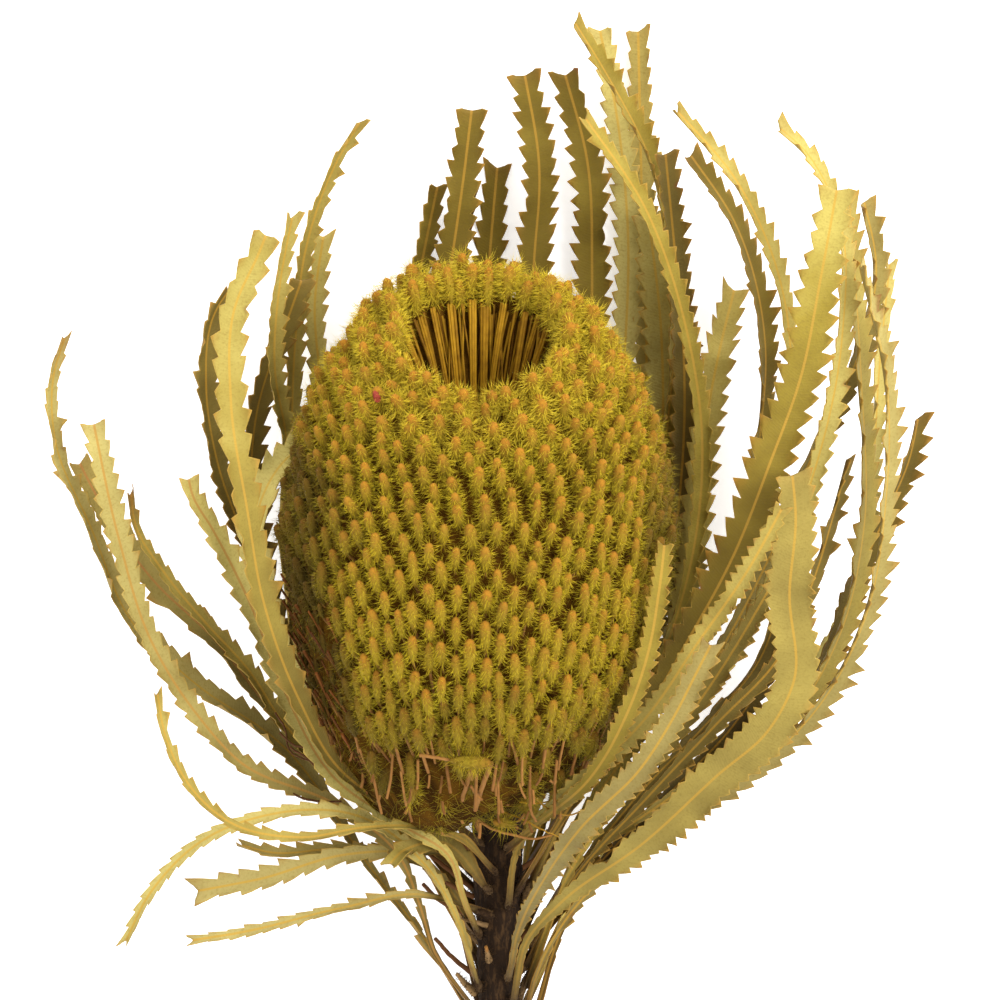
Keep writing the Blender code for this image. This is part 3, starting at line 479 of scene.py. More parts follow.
class FineBlade:
    """One leaf as it looks: a thin blade with fine teeth, a raised rib and wavy margins."""

    def __init__(self, leaf, rng):
        self.leaf, self.looks, self.rng = leaf, {**USUAL, **leaf.looks}, rng
        centre, sideways, out = leaf.frames()
        sway = SWAY * soft_noise(rng, SAMPLES, 13.0) * ease(leaf.share / 0.3)
        turned = np.radians(self.looks["face"] * leaf.share + sway)[:, None]
        out = np.cos(turned) * out + np.sin(turned) * sideways
        self.centre = smooth_curve(centre, CURVE_STEPS)
        self.distance = distances(self.centre)
        coarse = distances(centre)
        self.out = unit(resampled(self.distance / self.distance[-1] * coarse[-1], coarse, out))
        self.length = self.distance[-1] - TIP_HORN
        self.fold = math.radians(leaf.fold)

    def frame_at(self, place):
        """The blade's middle, its sideways and its outward direction at these places along the rib."""
        centre, out, heading = [
            resampled(place, self.distance, values)
            for values in (self.centre, self.out, np.gradient(self.centre, axis=0))
        ]
        heading = unit(heading)
        sideways = unit(np.cross(heading, unit(out)))
        return centre, sideways, np.cross(sideways, heading)

    def half_at(self, distance):
        """Half the blade's width at this distance along the rib."""
        share = np.clip(distance / self.length, 0.0, 1.0)
        taper = 1.0 + (self.looks["tip_width"] - 1.0) * ease((share - 0.5) / 0.5)
        neck = self.looks["neck"] + (1.0 - self.looks["neck"]) * ease(share / 0.32)
        return half_width(share, self.leaf.width) * taper * neck

    def outline(self):
        """Distances along the rib, the half width at each, notch and tip in turn, and each row's tooth."""
        bare = self.looks["bare"] * self.length
        count = max(6, round((self.length - bare) / self.looks["pitch"]))
        pitch = (self.length - bare) / count
        places = [0.0, 0.35 * bare, 0.7 * bare]
        widths = [0.5 * PETIOLE_WIDTH * 0.75] * 3
        teeth = [0, 0, 0]
        growth = 0.0
        for index in range(count):
            start = bare + index * pitch
            lean = min(self.looks["lean"] * self.rng.uniform(0.93, 1.07), 0.93) * pitch
            sharp = ease((index + 1.0) / 5.0)
            growth = 1.0 - (1.0 - NOTCH * self.looks["notch"] * self.rng.uniform(0.93, 1.08)) * sharp
            size = self.rng.uniform(0.86, 1.08)
            full = self.half_at(start)
            tip = self.half_at(start + lean) * (1.0 + (size - 1.0) * sharp)
            for share in (0.0, 0.5):
                places.append(start + share * lean)
                widths.append(full * growth + (tip - full * growth) * share * 1.12)
                teeth.append(index + 1)
            places.append(start + lean)
            widths.append(tip)
            teeth.append(index + 1)
        places.append(self.length)
        widths.append(self.half_at(self.length) * (0.5 * growth + 0.45) * self.rng.uniform(0.65, 1.0))
        teeth.append(count)
        return np.array(places), np.array(widths), np.array(teeth)

    def build(self):
        """The closed blade, with what its material reads."""
        looks, rng = self.looks, self.rng
        along, width, tooth = self.outline()
        rows = len(along)
        full = self.half_at(along)
        young = 1.0 - along / self.length
        inner = np.minimum(full * NOTCH * looks["notch"] * 0.86, width * 0.86)
        rib = np.minimum(RIB_HALF_WIDTH * (0.65 + 0.5 * young), inner * 0.45)
        side = np.stack([rib, inner, inner + 0.6 * (width - inner), width], axis=1)
        offset = np.concatenate([-side[:, ::-1], np.zeros((rows, 1)), side], axis=1)
        columns = offset.shape[1]
        middle = columns // 2
        share = np.abs(offset) / full[:, None]
        outer = (np.abs(offset) - inner[:, None]) / np.maximum(full - inner, 0.1)[:, None]
        outer = np.clip(outer, 0.0, 1.0)
        # The tip's last two teeth stand proud of the rib, and teeth lean forward at their points.
        end = ease((along - self.length + 1.5 * TOOTH) / (1.5 * TOOTH))
        which = (offset > 0.0).astype(int)
        horns = rng.uniform(0.35, 1.3, 2)[which]
        ahead = TIP_HORN * end[:, None] * horns * np.clip(share, 0.0, 1.0) ** 1.2
        place = np.clip(along[:, None] + ahead + 0.5 * looks["hook"] * outer, 0.0, self.distance[-1])
        centre, sideways, out = self.frame_at(place)
        # Each half bends as one curve: the fold at the rib, then a curl that grows towards the margin.
        wave = [np.interp(along, self.distance, soft_noise(rng, CURVE_STEPS, 9.0)) for _ in range(2)]
        bend = np.array([rng.normal(0.0, looks["ruffle"], tooth.max() + 1) for _ in range(2)])
        curl = CURL + WAVE * np.take_along_axis(np.stack(wave, axis=1), which, axis=1)
        curl = curl * ease(along / (0.3 * self.length))[:, None]
        angle = self.fold + curl * share
        lift = np.abs(offset) * np.sin(angle) + (CUP + bend[which, tooth[:, None]]) * outer**2
        spread = offset * np.cos(angle)
        surface = centre + sideways * spread[..., None] + out * (lift + BLADE_LIFT)[..., None]
        # Both sides stand off that surface, thickest along the rib and on the stalk.
        ridge = np.where(np.arange(columns) == middle, 1.0, 0.0)
        ridge[[middle - 1, middle + 1]] = 0.35
        thick = 0.5 * LEAF_THICKNESS * (1.0 - 0.55 * np.clip(share, 0.0, 1.0) ** 2)
        small = np.minimum(1.0, full / 3.0)[:, None]
        raised = RIB_HEIGHT * ridge * (0.6 + 0.6 * young)[:, None] * small
        round_stalk = np.sqrt(np.clip(1.0 - share**2, 0.0, 1.0))
        stalk = (1.0 - ease(along / (0.16 * self.length)))[:, None] * round_stalk
        top = surface + out * (thick + raised * 0.5 + 0.5 * stalk)[..., None]
        low = surface - out * (thick + raised * 0.5 + 0.45 * stalk)[..., None]
        points = np.concatenate([top.reshape(-1, 3), low.reshape(-1, 3)])
        points[:, 2] = np.maximum(points[:, 2], LOWEST)
        age = np.clip((along - self.length * (1.0 - looks["withered"])) / (0.1 * self.length), 0.0, 1.0)
        # The leaf's own tone with painted shade and painted light, changing towards the tip as shade_tip
        # says.
        shade = looks["shade"] + looks["shade_tip"] * (along / self.length) ** looks["shade_power"]

        def both(values):
            """A value for each point of the upper side, and again for the underside."""
            return np.tile(np.broadcast_to(values, offset.shape).ravel(), 2)

        rim = np.maximum(width[:, None] - np.abs(offset), 0.0)
        return new_object(
            "blade_" + self.leaf.name[5:], points, grid_faces(rows, columns),
            place=np.stack([both(offset), both(along[:, None]), both(rim)], axis=1),
            shade=both(shade[:, None]), age=both(age[:, None]), spine=both(outer**3),
            blush=looks["blush"], khaki=looks["khaki"], back=np.repeat([0.0, 1.0], rows * columns),
        )


def soft_noise(rng, count, period):
    """Smooth random values between about -1 and 1, with this period in samples."""
    knots = rng.normal(0.0, 0.7, int(count / period) + 3)
    return np.interp(np.arange(count) / period, np.arange(len(knots)), knots)


def grid_faces(rows, columns):
    """Quads of a closed sheet whose top rows come first and its underside after them."""
    under = rows * columns
    faces = []
    for row in range(rows - 1):
        for column in range(columns - 1):
            a = row * columns + column
            b, c, d = a + 1, a + columns + 1, a + columns
            faces.append((a, b, c, d))
            faces.append((under + d, under + c, under + b, under + a))
    for row in range(rows - 1):
        for column, turned in ((0, False), (columns - 1, True)):
            a = row * columns + column
            d = a + columns
            face = (a, d, under + d, under + a)
            faces.append(face[::-1] if turned else face)
    for column in range(columns - 1):
        for row, turned in ((0, True), (rows - 1, False)):
            a = row * columns + column
            face = (a, under + a, under + a + 1, a + 1)
            faces.append(face[::-1] if not turned else face)
    return faces


def new_object(name, points, faces, edges=(), **attributes):
    """A smooth mesh object from points in millimetres, with named values on its points."""
    data = bpy.data.meshes.new(name)
    data.from_pydata((np.asarray(points) * METRE).tolist(), list(edges), list(faces))
    mark(data, **attributes)
    data.shade_smooth()
    return placed(name, data)


def mark(data, **attributes):
    """Gives a mesh's points named numbers or vectors: one for all the points, or one for each."""
    count = len(data.vertices)
    for key, values in attributes.items():
        values = np.asarray(values, np.float32)
        if values.shape[-1:] == (3,):
            kind, field, shape = "FLOAT_VECTOR", "vector", (count, 3)
        else:
            kind, field, shape = "FLOAT", "value", (count,)
        layer = data.attributes.new(key, kind, "POINT")
        layer.data.foreach_set(field, np.broadcast_to(values, shape).ravel())


def dress(piece, material, slot, *nodes):
    """Gives a finished piece its material, and says what it rides on and which solids it stands for."""
    piece.data.materials.clear()
    piece.data.materials.append(material)
    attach(piece, "root")
    if nodes:
        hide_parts(*nodes)


class Wire:
    """A node's output that takes part in plain arithmetic, which adds Math nodes."""

    def __init__(self, graph, socket):
        self.graph, self.socket = graph, socket

    def beside(self, name):
        """Another output of the same node."""
        return Wire(self.graph, self.socket.node.outputs[name])

    def maths(self, operation, *others):
        values = dict(enumerate((self, *others)))
        return self.graph.add("ShaderNodeMath", {"operation": operation}, values)

    def __add__(self, other):
        return self.maths("ADD", other)

    __radd__ = __add__

    def __mul__(self, other):
        return self.maths("MULTIPLY", other)

    __rmul__ = __mul__

    def __sub__(self, other):
        return self.maths("SUBTRACT", other)

    def __rsub__(self, other):
        return self * -1.0 + other

    def __truediv__(self, other):
        return self.maths("DIVIDE", other)

    def __pow__(self, other):
        return self.maths("POWER", other)

    def __abs__(self):
        return self.maths("ABSOLUTE")

    def sine(self):
        return self.maths("SINE")

    def clamped(self):
        return self.maths("MAXIMUM", 0.0).maths("MINIMUM", 1.0)

    def between(self, low, high):
        """0 at low, 1 at high, with a soft start and end."""
        return self.graph.add(
            "ShaderNodeMapRange",
            {"interpolation_type": "SMOOTHSTEP"},
            {"Value": self, "From Min": low, "From Max": high},
        )


class Graph:
    """A node tree that is built one node at a time."""

    def __init__(self, tree):
        self.tree = tree

    def add(self, kind, settings=None, values=None, output=0):
        """Adds a node: its settings, then its sockets' values or links. Returns one of its outputs."""
        node = self.tree.nodes.new(kind)
        for key, value in (settings or {}).items():
            if key == "stops":
                set_stops(node.color_ramp, value)
            else:
                setattr(node, key, value)
        for key, value in (values or {}).items():
            if isinstance(value, Wire):
                self.tree.links.new(value.socket, node.inputs[key])
            else:
                node.inputs[key].default_value = value
        return Wire(self, node.outputs[output]) if node.outputs else None

    def attribute(self, name, output="Fac"):
        return self.add("ShaderNodeAttribute", {"attribute_name": name}, output=output)

    def noise(self, scale, detail=2.0, where=None, roughness=0.5):
        """Even noise from 0 to 1 whose grains are this many millimetres across."""
        where = where or self.add("ShaderNodeTexCoord", output="Object")
        values = {"Vector": where, "Scale": 1.0 / (scale * METRE), "Detail": detail, "Roughness": roughness}
        return self.add("ShaderNodeTexNoise", values=values)

    def blend(self, share, first, second):
        """first where share is 0, second where it is 1; both are colours."""
        settings = {"data_type": "RGBA", "blend_type": "MIX", "clamp_factor": True}
        return self.add("ShaderNodeMix", settings, {0: share, 6: first, 7: second}, output=2)

    def coats(self, base, *coats):
        """The base colour with each coat, a mask and its colour, laid over it in turn."""
        for mask, colour in coats:
            base = self.blend(mask, base, colour)
        return base

    def ramp(self, place, *stops):
        """A colour for each place from 0 to 1. A stop is its place and its red, green and blue."""
        stops = [(position, tint(*colour)) for position, *colour in stops]
        return self.add("ShaderNodeValToRGB", {"stops": stops}, {0: place})


def set_stops(ramp, stops):
    while len(ramp.elements) < len(stops):
        ramp.elements.new(1.0)
    for element, (position, colour) in zip(ramp.elements, stops):
        element.position = position
        element.color = colour


def tint(red, green, blue):
    """A colour as a screen shows it under the studio's light, 0 to 255, in the renderer's own values."""
    parts = [value / 255.0 for value in (red, green, blue)]
    parts = [p / 12.92 if p <= 0.04045 else ((p + 0.055) / 1.055) ** 2.4 for p in parts]
    return tuple(p / STUDIO_LIGHT for p in parts) + (1.0,)


class Finish(Graph):
    """The node tree of a material with one Principled shader."""

    def __init__(self, name, roughness, specular, **others):
        self.material = bpy.data.materials.new(name)
        self.material.use_nodes = True
        super().__init__(self.material.node_tree)
        self.shader = self.tree.nodes["Principled BSDF"]
        for key, value in {"Roughness": roughness, "Specular IOR Level": specular, **others}.items():
            self.shader.inputs[key].default_value = value

    def painted(self, colour, height=None, depth=0.0):
        """The material in this colour, raised by height, 0 to 1, times depth in millimetres."""
        self.tree.links.new(colour.socket, self.shader.inputs["Base Color"])
        if height is not None:
            values = {"Height": height, "Distance": depth * METRE, "Strength": 1.0}
            bump = self.add("ShaderNodeBump", values=values, output="Normal")
            self.tree.links.new(bump.socket, self.shader.inputs["Normal"])
        return self.material


def leaf_material():
    """A dry leaf: khaki to olive-brown, a golden rib and rim, fine veins across, darker withered ends, and
    painted shade and painted light from its shade value.
    """
    finish = Finish("leaf_dry", 0.7, 0.18)
    across = finish.add("ShaderNodeSeparateXYZ", values={0: finish.attribute("place", "Vector")})
    along, rim = across.beside("Y"), across.beside("Z")
    patches, grain, fine = finish.noise(11.0, 3.0), finish.noise(0.6, 2.0), finish.noise(0.9, 3.0)
    bare = (1.0 - along / 34.0).clamped()
    # dark mixes the leaf's own tone with the painted shade and painted light of its shade value.
    dark = finish.attribute("shade") * 0.9 + (patches - 0.5) * 0.5 + finish.attribute("back") * 0.1
    dark = (dark + bare * 0.3 + 0.1).clamped()

    # Colours that follow dark, and so carry its painted shade and painted light as well as the leaf's own
    # tone.
    def shaded(light, deep):
        return finish.blend(dark, tint(*light), tint(*deep))

    swing = (along - abs(across) * 0.42) * (2.0 * math.pi / VEIN_PITCH) + (fine - 0.5) * 5.0
    veins = (swing.sine() * 0.5 + 0.5) ** 2.0
    rib = 1.0 - abs(across).between(0.16, 0.34)
    edge = 1.0 - (rim + (fine - 0.5) * 0.3).between(0.02, 0.24)
    scorch = ((finish.noise(4.5, 2.0) - 0.64) * 8.0).clamped() * (1.0 - rim.between(0.1, 1.2)) * 0.7
    golden = shaded((240, 196, 84), (184, 132, 36))
    golden = finish.blend(finish.attribute("blush"), golden, tint(216, 150, 88))
    face = finish.coats(
        finish.ramp(dark, (0.0, 235, 214, 112), (0.3, 193, 168, 64), (0.6, 143, 119, 36), (1.0, 79, 59, 17)),
        (finish.attribute("khaki") * 0.6, shaded((240, 222, 156), (96, 80, 44))),
        ((veins * 0.08 + (grain - 0.5) * 0.7).clamped(), shaded((218, 190, 94), (128, 102, 42))),
        ((grain - 0.5).clamped() * 1.1, shaded((156, 128, 44), (60, 42, 14))),
        (rib * (0.9 - bare * 0.5), golden),
        (bare * bare * 0.7, tint(142, 114, 52)),
        (finish.attribute("spine") * 0.85, tint(206, 142, 52)),
        (edge * (0.6 - bare * 0.5), shaded((248, 206, 90), (186, 142, 54))),
        ((scorch + finish.attribute("age") * (fine + 0.45)).clamped(), tint(152, 92, 46)),
        ((1.0 - (along + fine * 5.0).between(2.0, 14.0)) * 0.85, tint(86, 62, 36)),
    )
    return finish.painted(face, veins * 0.2 + grain * 0.9 + fine * 0.5, 0.09)


def floret_material():
    """A floret's velvety body: yellow-green below, ochre above, with an orange-brown mottled tip, and
    painted shade on the head's left flank, edges and underside.
    """
    finish = Finish("floret_velvet", 0.92, 0.15)
    rise = finish.attribute("rise")
    mottle = finish.noise(0.5, 3.0)
    spots = ((finish.noise(0.36, 2.0) - 0.52) * 3.2 * rise).clamped()
    height = (rise + (mottle - 0.5) * 0.45 + (finish.attribute("tone") - 0.5) * 0.2 - 0.04).clamped()
    velvet = finish.ramp(
        height, (0.0, 172, 136, 38), (0.3, 188, 162, 40), (0.6, 188, 154, 42), (0.84, 190, 142, 42),
        (1.0, 204, 140, 40),
    )
    # Painted shade: florets on the head's left flank, its edges and its underside are darkened towards
    # brown.
    shaded_share = (finish.attribute("gloom") * 0.85).clamped()
    return finish.painted(
        finish.coats(velvet, (spots, tint(158, 104, 38)), (shaded_share, tint(82, 62, 18))), mottle, 0.14
    )


def hair_material():
    """Fine hairs, yellow-green and paler to their points, with painted light on the crown's lip and painted
    shade where their florets have it.
    """
    finish = Finish("floret_hair", 0.7, 0.2)
    along = finish.attribute("along")
    return finish.painted(finish.coats(
        finish.blend(along, tint(252, 211, 38), tint(280, 246, 62)),
        (finish.attribute("tone"), finish.blend(along, tint(230, 203, 34), tint(270, 244, 54))),
        # Painted light: hairs on the crown's lip are paler, where the light falls from above.
        (finish.attribute("glow") * 0.75, tint(280, 243, 64)),
        # Painted shade on the hairs, as on their florets.
        ((finish.attribute("gloom") * 0.85).clamped(), tint(104, 82, 25)),
    ))


def tube_material(name, pale, dark, roughness=0.8):
    """Dry tubes and stalks, mottled along their length."""
    finish = Finish(name, roughness, 0.12)
    fine = finish.noise(1.6, 2.0)
    share = (finish.attribute("tone") * 0.7 + (fine - 0.4) * 0.8).clamped()
    return finish.painted(finish.blend(share, tint(*pale), tint(*dark)), fine, 0.05)


def core_material():
    """Brown fibres, darkened by painted shade, most of it low down."""
    finish = Finish("core_dark", 0.95, 0.02)
    fibres = finish.noise(1.1, 3.0)
    fibrous = finish.blend(fibres, tint(82, 54, 15), tint(138, 94, 26))
    # Painted shade: the core is darker where its painted shade is strong.
    low = finish.attribute("gloom").between(0.45, 0.85)
    return finish.painted(finish.blend(low * 0.85, fibrous, tint(62, 38, 10)), fibres, 0.4)


def stem_material():
    """Dark woolly bark with brown and paler flecks."""
    finish = Finish("stem_bark", 0.95, 0.15)
    streaks = finish.noise(0.9, 4.0, finish.attribute("grain", "Vector"), 0.6)
    dark = finish.blend(finish.noise(5.0, 3.0), tint(30, 19, 10), tint(62, 42, 24))
    flecked = finish.blend(((streaks - 0.5) * 3.0).clamped(), dark, tint(116, 84, 50))
    return finish.painted(flecked, streaks, 0.6)


def cut_material():
    """Cut wood: pale, with a dark pith and a dark rim."""
    finish = Finish("wood_cut", 0.8, 0.2)
    radius = finish.attribute("from_pith")
    grain = finish.noise(0.5, 3.0)
    wood = finish.coats(
        finish.blend(grain, tint(176, 136, 84), tint(128, 92, 52)),
        (1.0 - radius.between(0.9, 1.5), tint(96, 66, 38)),
        (radius.between(3.3, 3.9), tint(64, 42, 24)),
    )
    return finish.painted(wood, grain, 0.1)


def fleece_material():
    """Short brown hairs of the stem."""
    finish = Finish("stem_fleece", 0.9, 0.1)
    dark = finish.blend(finish.noise(3.0, 2.0), tint(40, 26, 13), tint(78, 54, 30))
    return finish.painted(finish.blend(finish.attribute("along"), dark, tint(118, 88, 54)))


def floor_material():
    """Pale paper that gives off a little light."""
    finish = Finish("paper_floor", 0.9, 0.0, **{"Emission Strength": 0.5, "Emission Color": WHITE})
    return finish.painted(finish.blend(finish.noise(40.0), (0.9, 0.9, 0.9, 1.0), (0.92, 0.92, 0.92, 1.0)))


def placed(name, data):
    """A new object in the scene that shows this mesh, lamp or camera."""
    made = bpy.data.objects.new(name, data)
    bpy.context.scene.collection.objects.link(made)
    return made


def grown(name, source, build, **inputs):
    """Runs a geometry tree on a source object and returns a plain mesh object of the result."""
    tree = bpy.data.node_groups.new(name, "GeometryNodeTree")
    graph = Graph(tree)
    kinds = {bpy.types.Object: "NodeSocketObject", bpy.types.Material: "NodeSocketMaterial",
             int: "NodeSocketInt", float: "NodeSocketFloat"}
    for way in ("OUTPUT", "INPUT"):
        tree.interface.new_socket("Geometry", in_out=way, socket_type="NodeSocketGeometry")
    for key, value in inputs.items():
        tree.interface.new_socket(key, in_out="INPUT", socket_type=kinds[type(value)])
    entry = graph.add("NodeGroupInput")
    last = build(graph, **{key: entry.beside(key) for key in ("Geometry", *inputs)})
    graph.add("NodeGroupOutput", values={"Geometry": last})
    modifier = source.modifiers.new(name, "NODES")
    modifier.node_group = tree
    for item in tree.interface.items_tree:
        if item.in_out == "INPUT" and item.name in inputs:
            modifier[item.identifier] = inputs[item.name]
    evaluated = bpy.context.evaluated_depsgraph_get()
    data = bpy.data.meshes.new_from_object(
        source.evaluated_get(evaluated), preserve_all_data_layers=True, depsgraph=evaluated
    )
    source.modifiers.remove(modifier)
    bpy.data.objects.remove(source, do_unlink=True)
    data.name = name
    made = placed(name, data)
    data.shade_smooth()
    return made


def named(graph, name, kind="FLOAT"):
    return graph.add("GeometryNodeInputNamedAttribute", {"data_type": kind}, {"Name": name}, "Attribute")


def aligned(graph, aim):
    return graph.add("FunctionNodeAlignRotationToVector", {"axis": "Z"}, {"Vector": aim})


def realized(graph, geometry, material):
    """The end of every tree: real geometry with its material."""
    real = graph.add("GeometryNodeRealizeInstances", values={"Geometry": geometry})
    return graph.add("GeometryNodeSetMaterial", values={"Geometry": real, "Material": material})


def planted(graph, points, shape, rotation, scale, material):
    """A real copy of the shape on every point."""
    shape = graph.add("GeometryNodeObjectInfo", values={"Object": shape}, output="Geometry")
    values = {"Points": points, "Instance": shape, "Rotation": rotation, "Scale": scale}
    return realized(graph, graph.add("GeometryNodeInstanceOnPoints", values=values), material)


def stand_tree(graph, Geometry, Shape, Material, Seed):
    """Stands the shape on every point, along the point's aim and at its size, turned at random."""
    turn = graph.add(
        "FunctionNodeRandomValue", {"data_type": "FLOAT"}, {"Max": 2.0 * math.pi, "Seed": Seed}, 1
    )
    spin = graph.add("FunctionNodeAxisAngleToRotation", values={"Axis": (0.0, 0.0, 1.0), "Angle": turn})
    aimed = aligned(graph, named(graph, "aim", "FLOAT_VECTOR"))
    rotation = graph.add("FunctionNodeRotateRotation", {"rotation_space": "LOCAL"}, {0: aimed, 1: spin})
    return planted(graph, Geometry, Shape, rotation, named(graph, "size", "FLOAT_VECTOR"), Material)


def hair_tree(graph, Geometry, Shape, Material, Seed, Density, Length, Scatter, Lean):
    """Scatters hairs where the surface is fuzzy. Each strays from its normal and leans along its aim."""
    points = graph.add(
        "GeometryNodeDistributePointsOnFaces",
        {"distribute_method": "RANDOM"},
        {"Mesh": Geometry, "Density": named(graph, "fuzz") * named(graph, "bush") * Density, "Seed": Seed},
        "Points",
    )
    aim = points.beside("Normal")
    stray = graph.add(
        "FunctionNodeRandomValue", {"data_type": "FLOAT_VECTOR"}, {0: (-1.0, -1.0, -1.0), 1: (1.0, 1.0, 1.0)}
    )
    for vector, share in ((stray, Scatter), (named(graph, "aim", "FLOAT_VECTOR"), Lean)):
        added = graph.add("ShaderNodeVectorMath", {"operation": "SCALE"}, {0: vector, "Scale": share})
        aim = graph.add("ShaderNodeVectorMath", {"operation": "ADD"}, {0: aim, 1: added})
    size = graph.add("FunctionNodeRandomValue", {"data_type": "FLOAT"}, {2: 0.45, 3: 1.0, "Seed": Seed}, 1)
    size = size * Length * named(graph, "shag")
    scale = graph.add("ShaderNodeCombineXYZ", values={"X": 1.0, "Y": 1.0, "Z": size})
    return planted(graph, points, Shape, aligned(graph, aim), scale, Material)


def tube_tree(graph, Geometry, Material, Sides):
    """Turns each chain of edges into a tube with closed ends, as thick as its girth says."""
    curve = graph.add("GeometryNodeMeshToCurve", values={"Mesh": Geometry})
    ring = graph.add(
        "GeometryNodeCurvePrimitiveCircle", {"mode": "RADIUS"}, {"Resolution": Sides, "Radius": METRE}
    )
    tube = graph.add(
        "GeometryNodeCurveToMesh",
        values={"Curve": curve, "Profile Curve": ring, "Scale": named(graph, "girth"), "Fill Caps": True},
    )
    return realized(graph, tube, Material)


class Tubes:
    """Tubes along paths, gathered for one piece."""

    def __init__(self):
        self.points, self.edges, self.girths, self.tones = [], [], [], []

    def add(self, path, girth, tone):
        """Adds a tube with this girth, one number or one for each point of its path."""
        start = len(self.points)
        self.points.extend(path)
        self.edges += [(start + i, start + i + 1) for i in range(len(path) - 1)]
        self.girths.extend(np.broadcast_to(girth, len(path)))
        self.tones += [tone] * len(path)

    def piece(self, name, material, sides):
        source = new_object(name + "_paths", self.points, (), self.edges, girth=self.girths, tone=self.tones)
        return grown(name, source, tube_tree, Material=material, Sides=sides)


def around(sides):
    """The angles of evenly spaced places round a ring."""
    return 2.0 * math.pi * np.arange(sides) / sides


def ring_faces(rings, sides):
    """Quads between rings of points that follow one another, and a face that closes each end."""
    faces = []
    for ring in range(rings - 1):
        for side in range(sides):
            a, b = ring * sides + side, ring * sides + (side + 1) % sides
            faces.append((a, b, b + sides, a + sides))
    faces.append(tuple(range(sides))[::-1])
    faces.append(tuple(range((rings - 1) * sides, rings * sides)))
    return faces


def flower_points(angle, radius, axial):
    """Points given round the head's axis, in the part's X, Y and Z. The crown slumps towards the front."""
    across, front = radius * np.cos(angle), radius * np.sin(angle)
    slump = CROWN_SLUMP * front / FUNNEL_MOUTH * np.clip(axial / FUNNEL_TOP, 0.0, 1.0) ** 4
    return np.stack(along_axis(across, front, axial - slump), axis=-1)


def flower_directions(angle, outward, axial):
    """Directions with these outward and axial shares, in the part's X, Y and Z."""
    ends = np.stack(along_axis(outward * np.cos(angle), outward * np.sin(angle), axial), axis=-1)
    return unit(ends - HEAD_CENTRE)


def seen_path(stations, count=14):
    """A smooth path in the part's X, Y and Z through (across, up, front) stations as the eye sees them."""
    across, up, front = smooth_curve(stations, count).T
    return to_part(np.stack([across, up, up * TAN_VIEW + front / COS_VIEW], axis=1))


def floret_layout(rng):
    """Every floret's angle, radius, axial place and row share, in staggered columns from the base up."""
    rise = np.radians(np.linspace(SHELL_START, CROWN_START, 70))
    half = FLORET_SHELL_HALF + 3.6 * ease((-np.degrees(rise) - 20.0) / 40.0)
    shell = np.stack([FLORET_SHELL_RADIUS * np.cos(rise), half * np.sin(rise)], axis=1)
    profile = np.concatenate([shell, [(21.5, 44.6), (FUNNEL_MOUTH + 2.0, 44.4)]])
    rows = smooth_curve(profile, round(distances(profile)[-1] / FLORET_RISE) + 1)
    found = []
    offset = 0.0
    previous = 0
    for index, (radius, axial) in enumerate(rows):
        count = round(math.pi * radius / FLORET_PITCH * (1.15 if axial > 0.0 else 1.0))
        if radius > 0.86 * FLORET_SHELL_RADIUS:
            count = round(math.pi * FLORET_SHELL_RADIUS / FLORET_PITCH)
        offset = offset + math.pi / count if count == previous else rng.uniform(0.0, 0.2)
        previous = count
        for place in range(count):
            found.append((offset + 2.0 * math.pi * place / count, radius, axial, index / (len(rows) - 1)))
    return np.array(found).T


def lip_bundles(rng):
    """The angle, outer and inner radius of each bundle of tubes in the crown."""
    angle = 2.0 * math.pi * (np.arange(BUNDLES) + rng.uniform(-0.25, 0.25, BUNDLES)) / BUNDLES
    outer = FUNNEL_MOUTH + rng.uniform(-1.2, 0.6, BUNDLES)
    return angle, outer, FUNNEL_THROAT + rng.uniform(0.0, 1.5, BUNDLES)


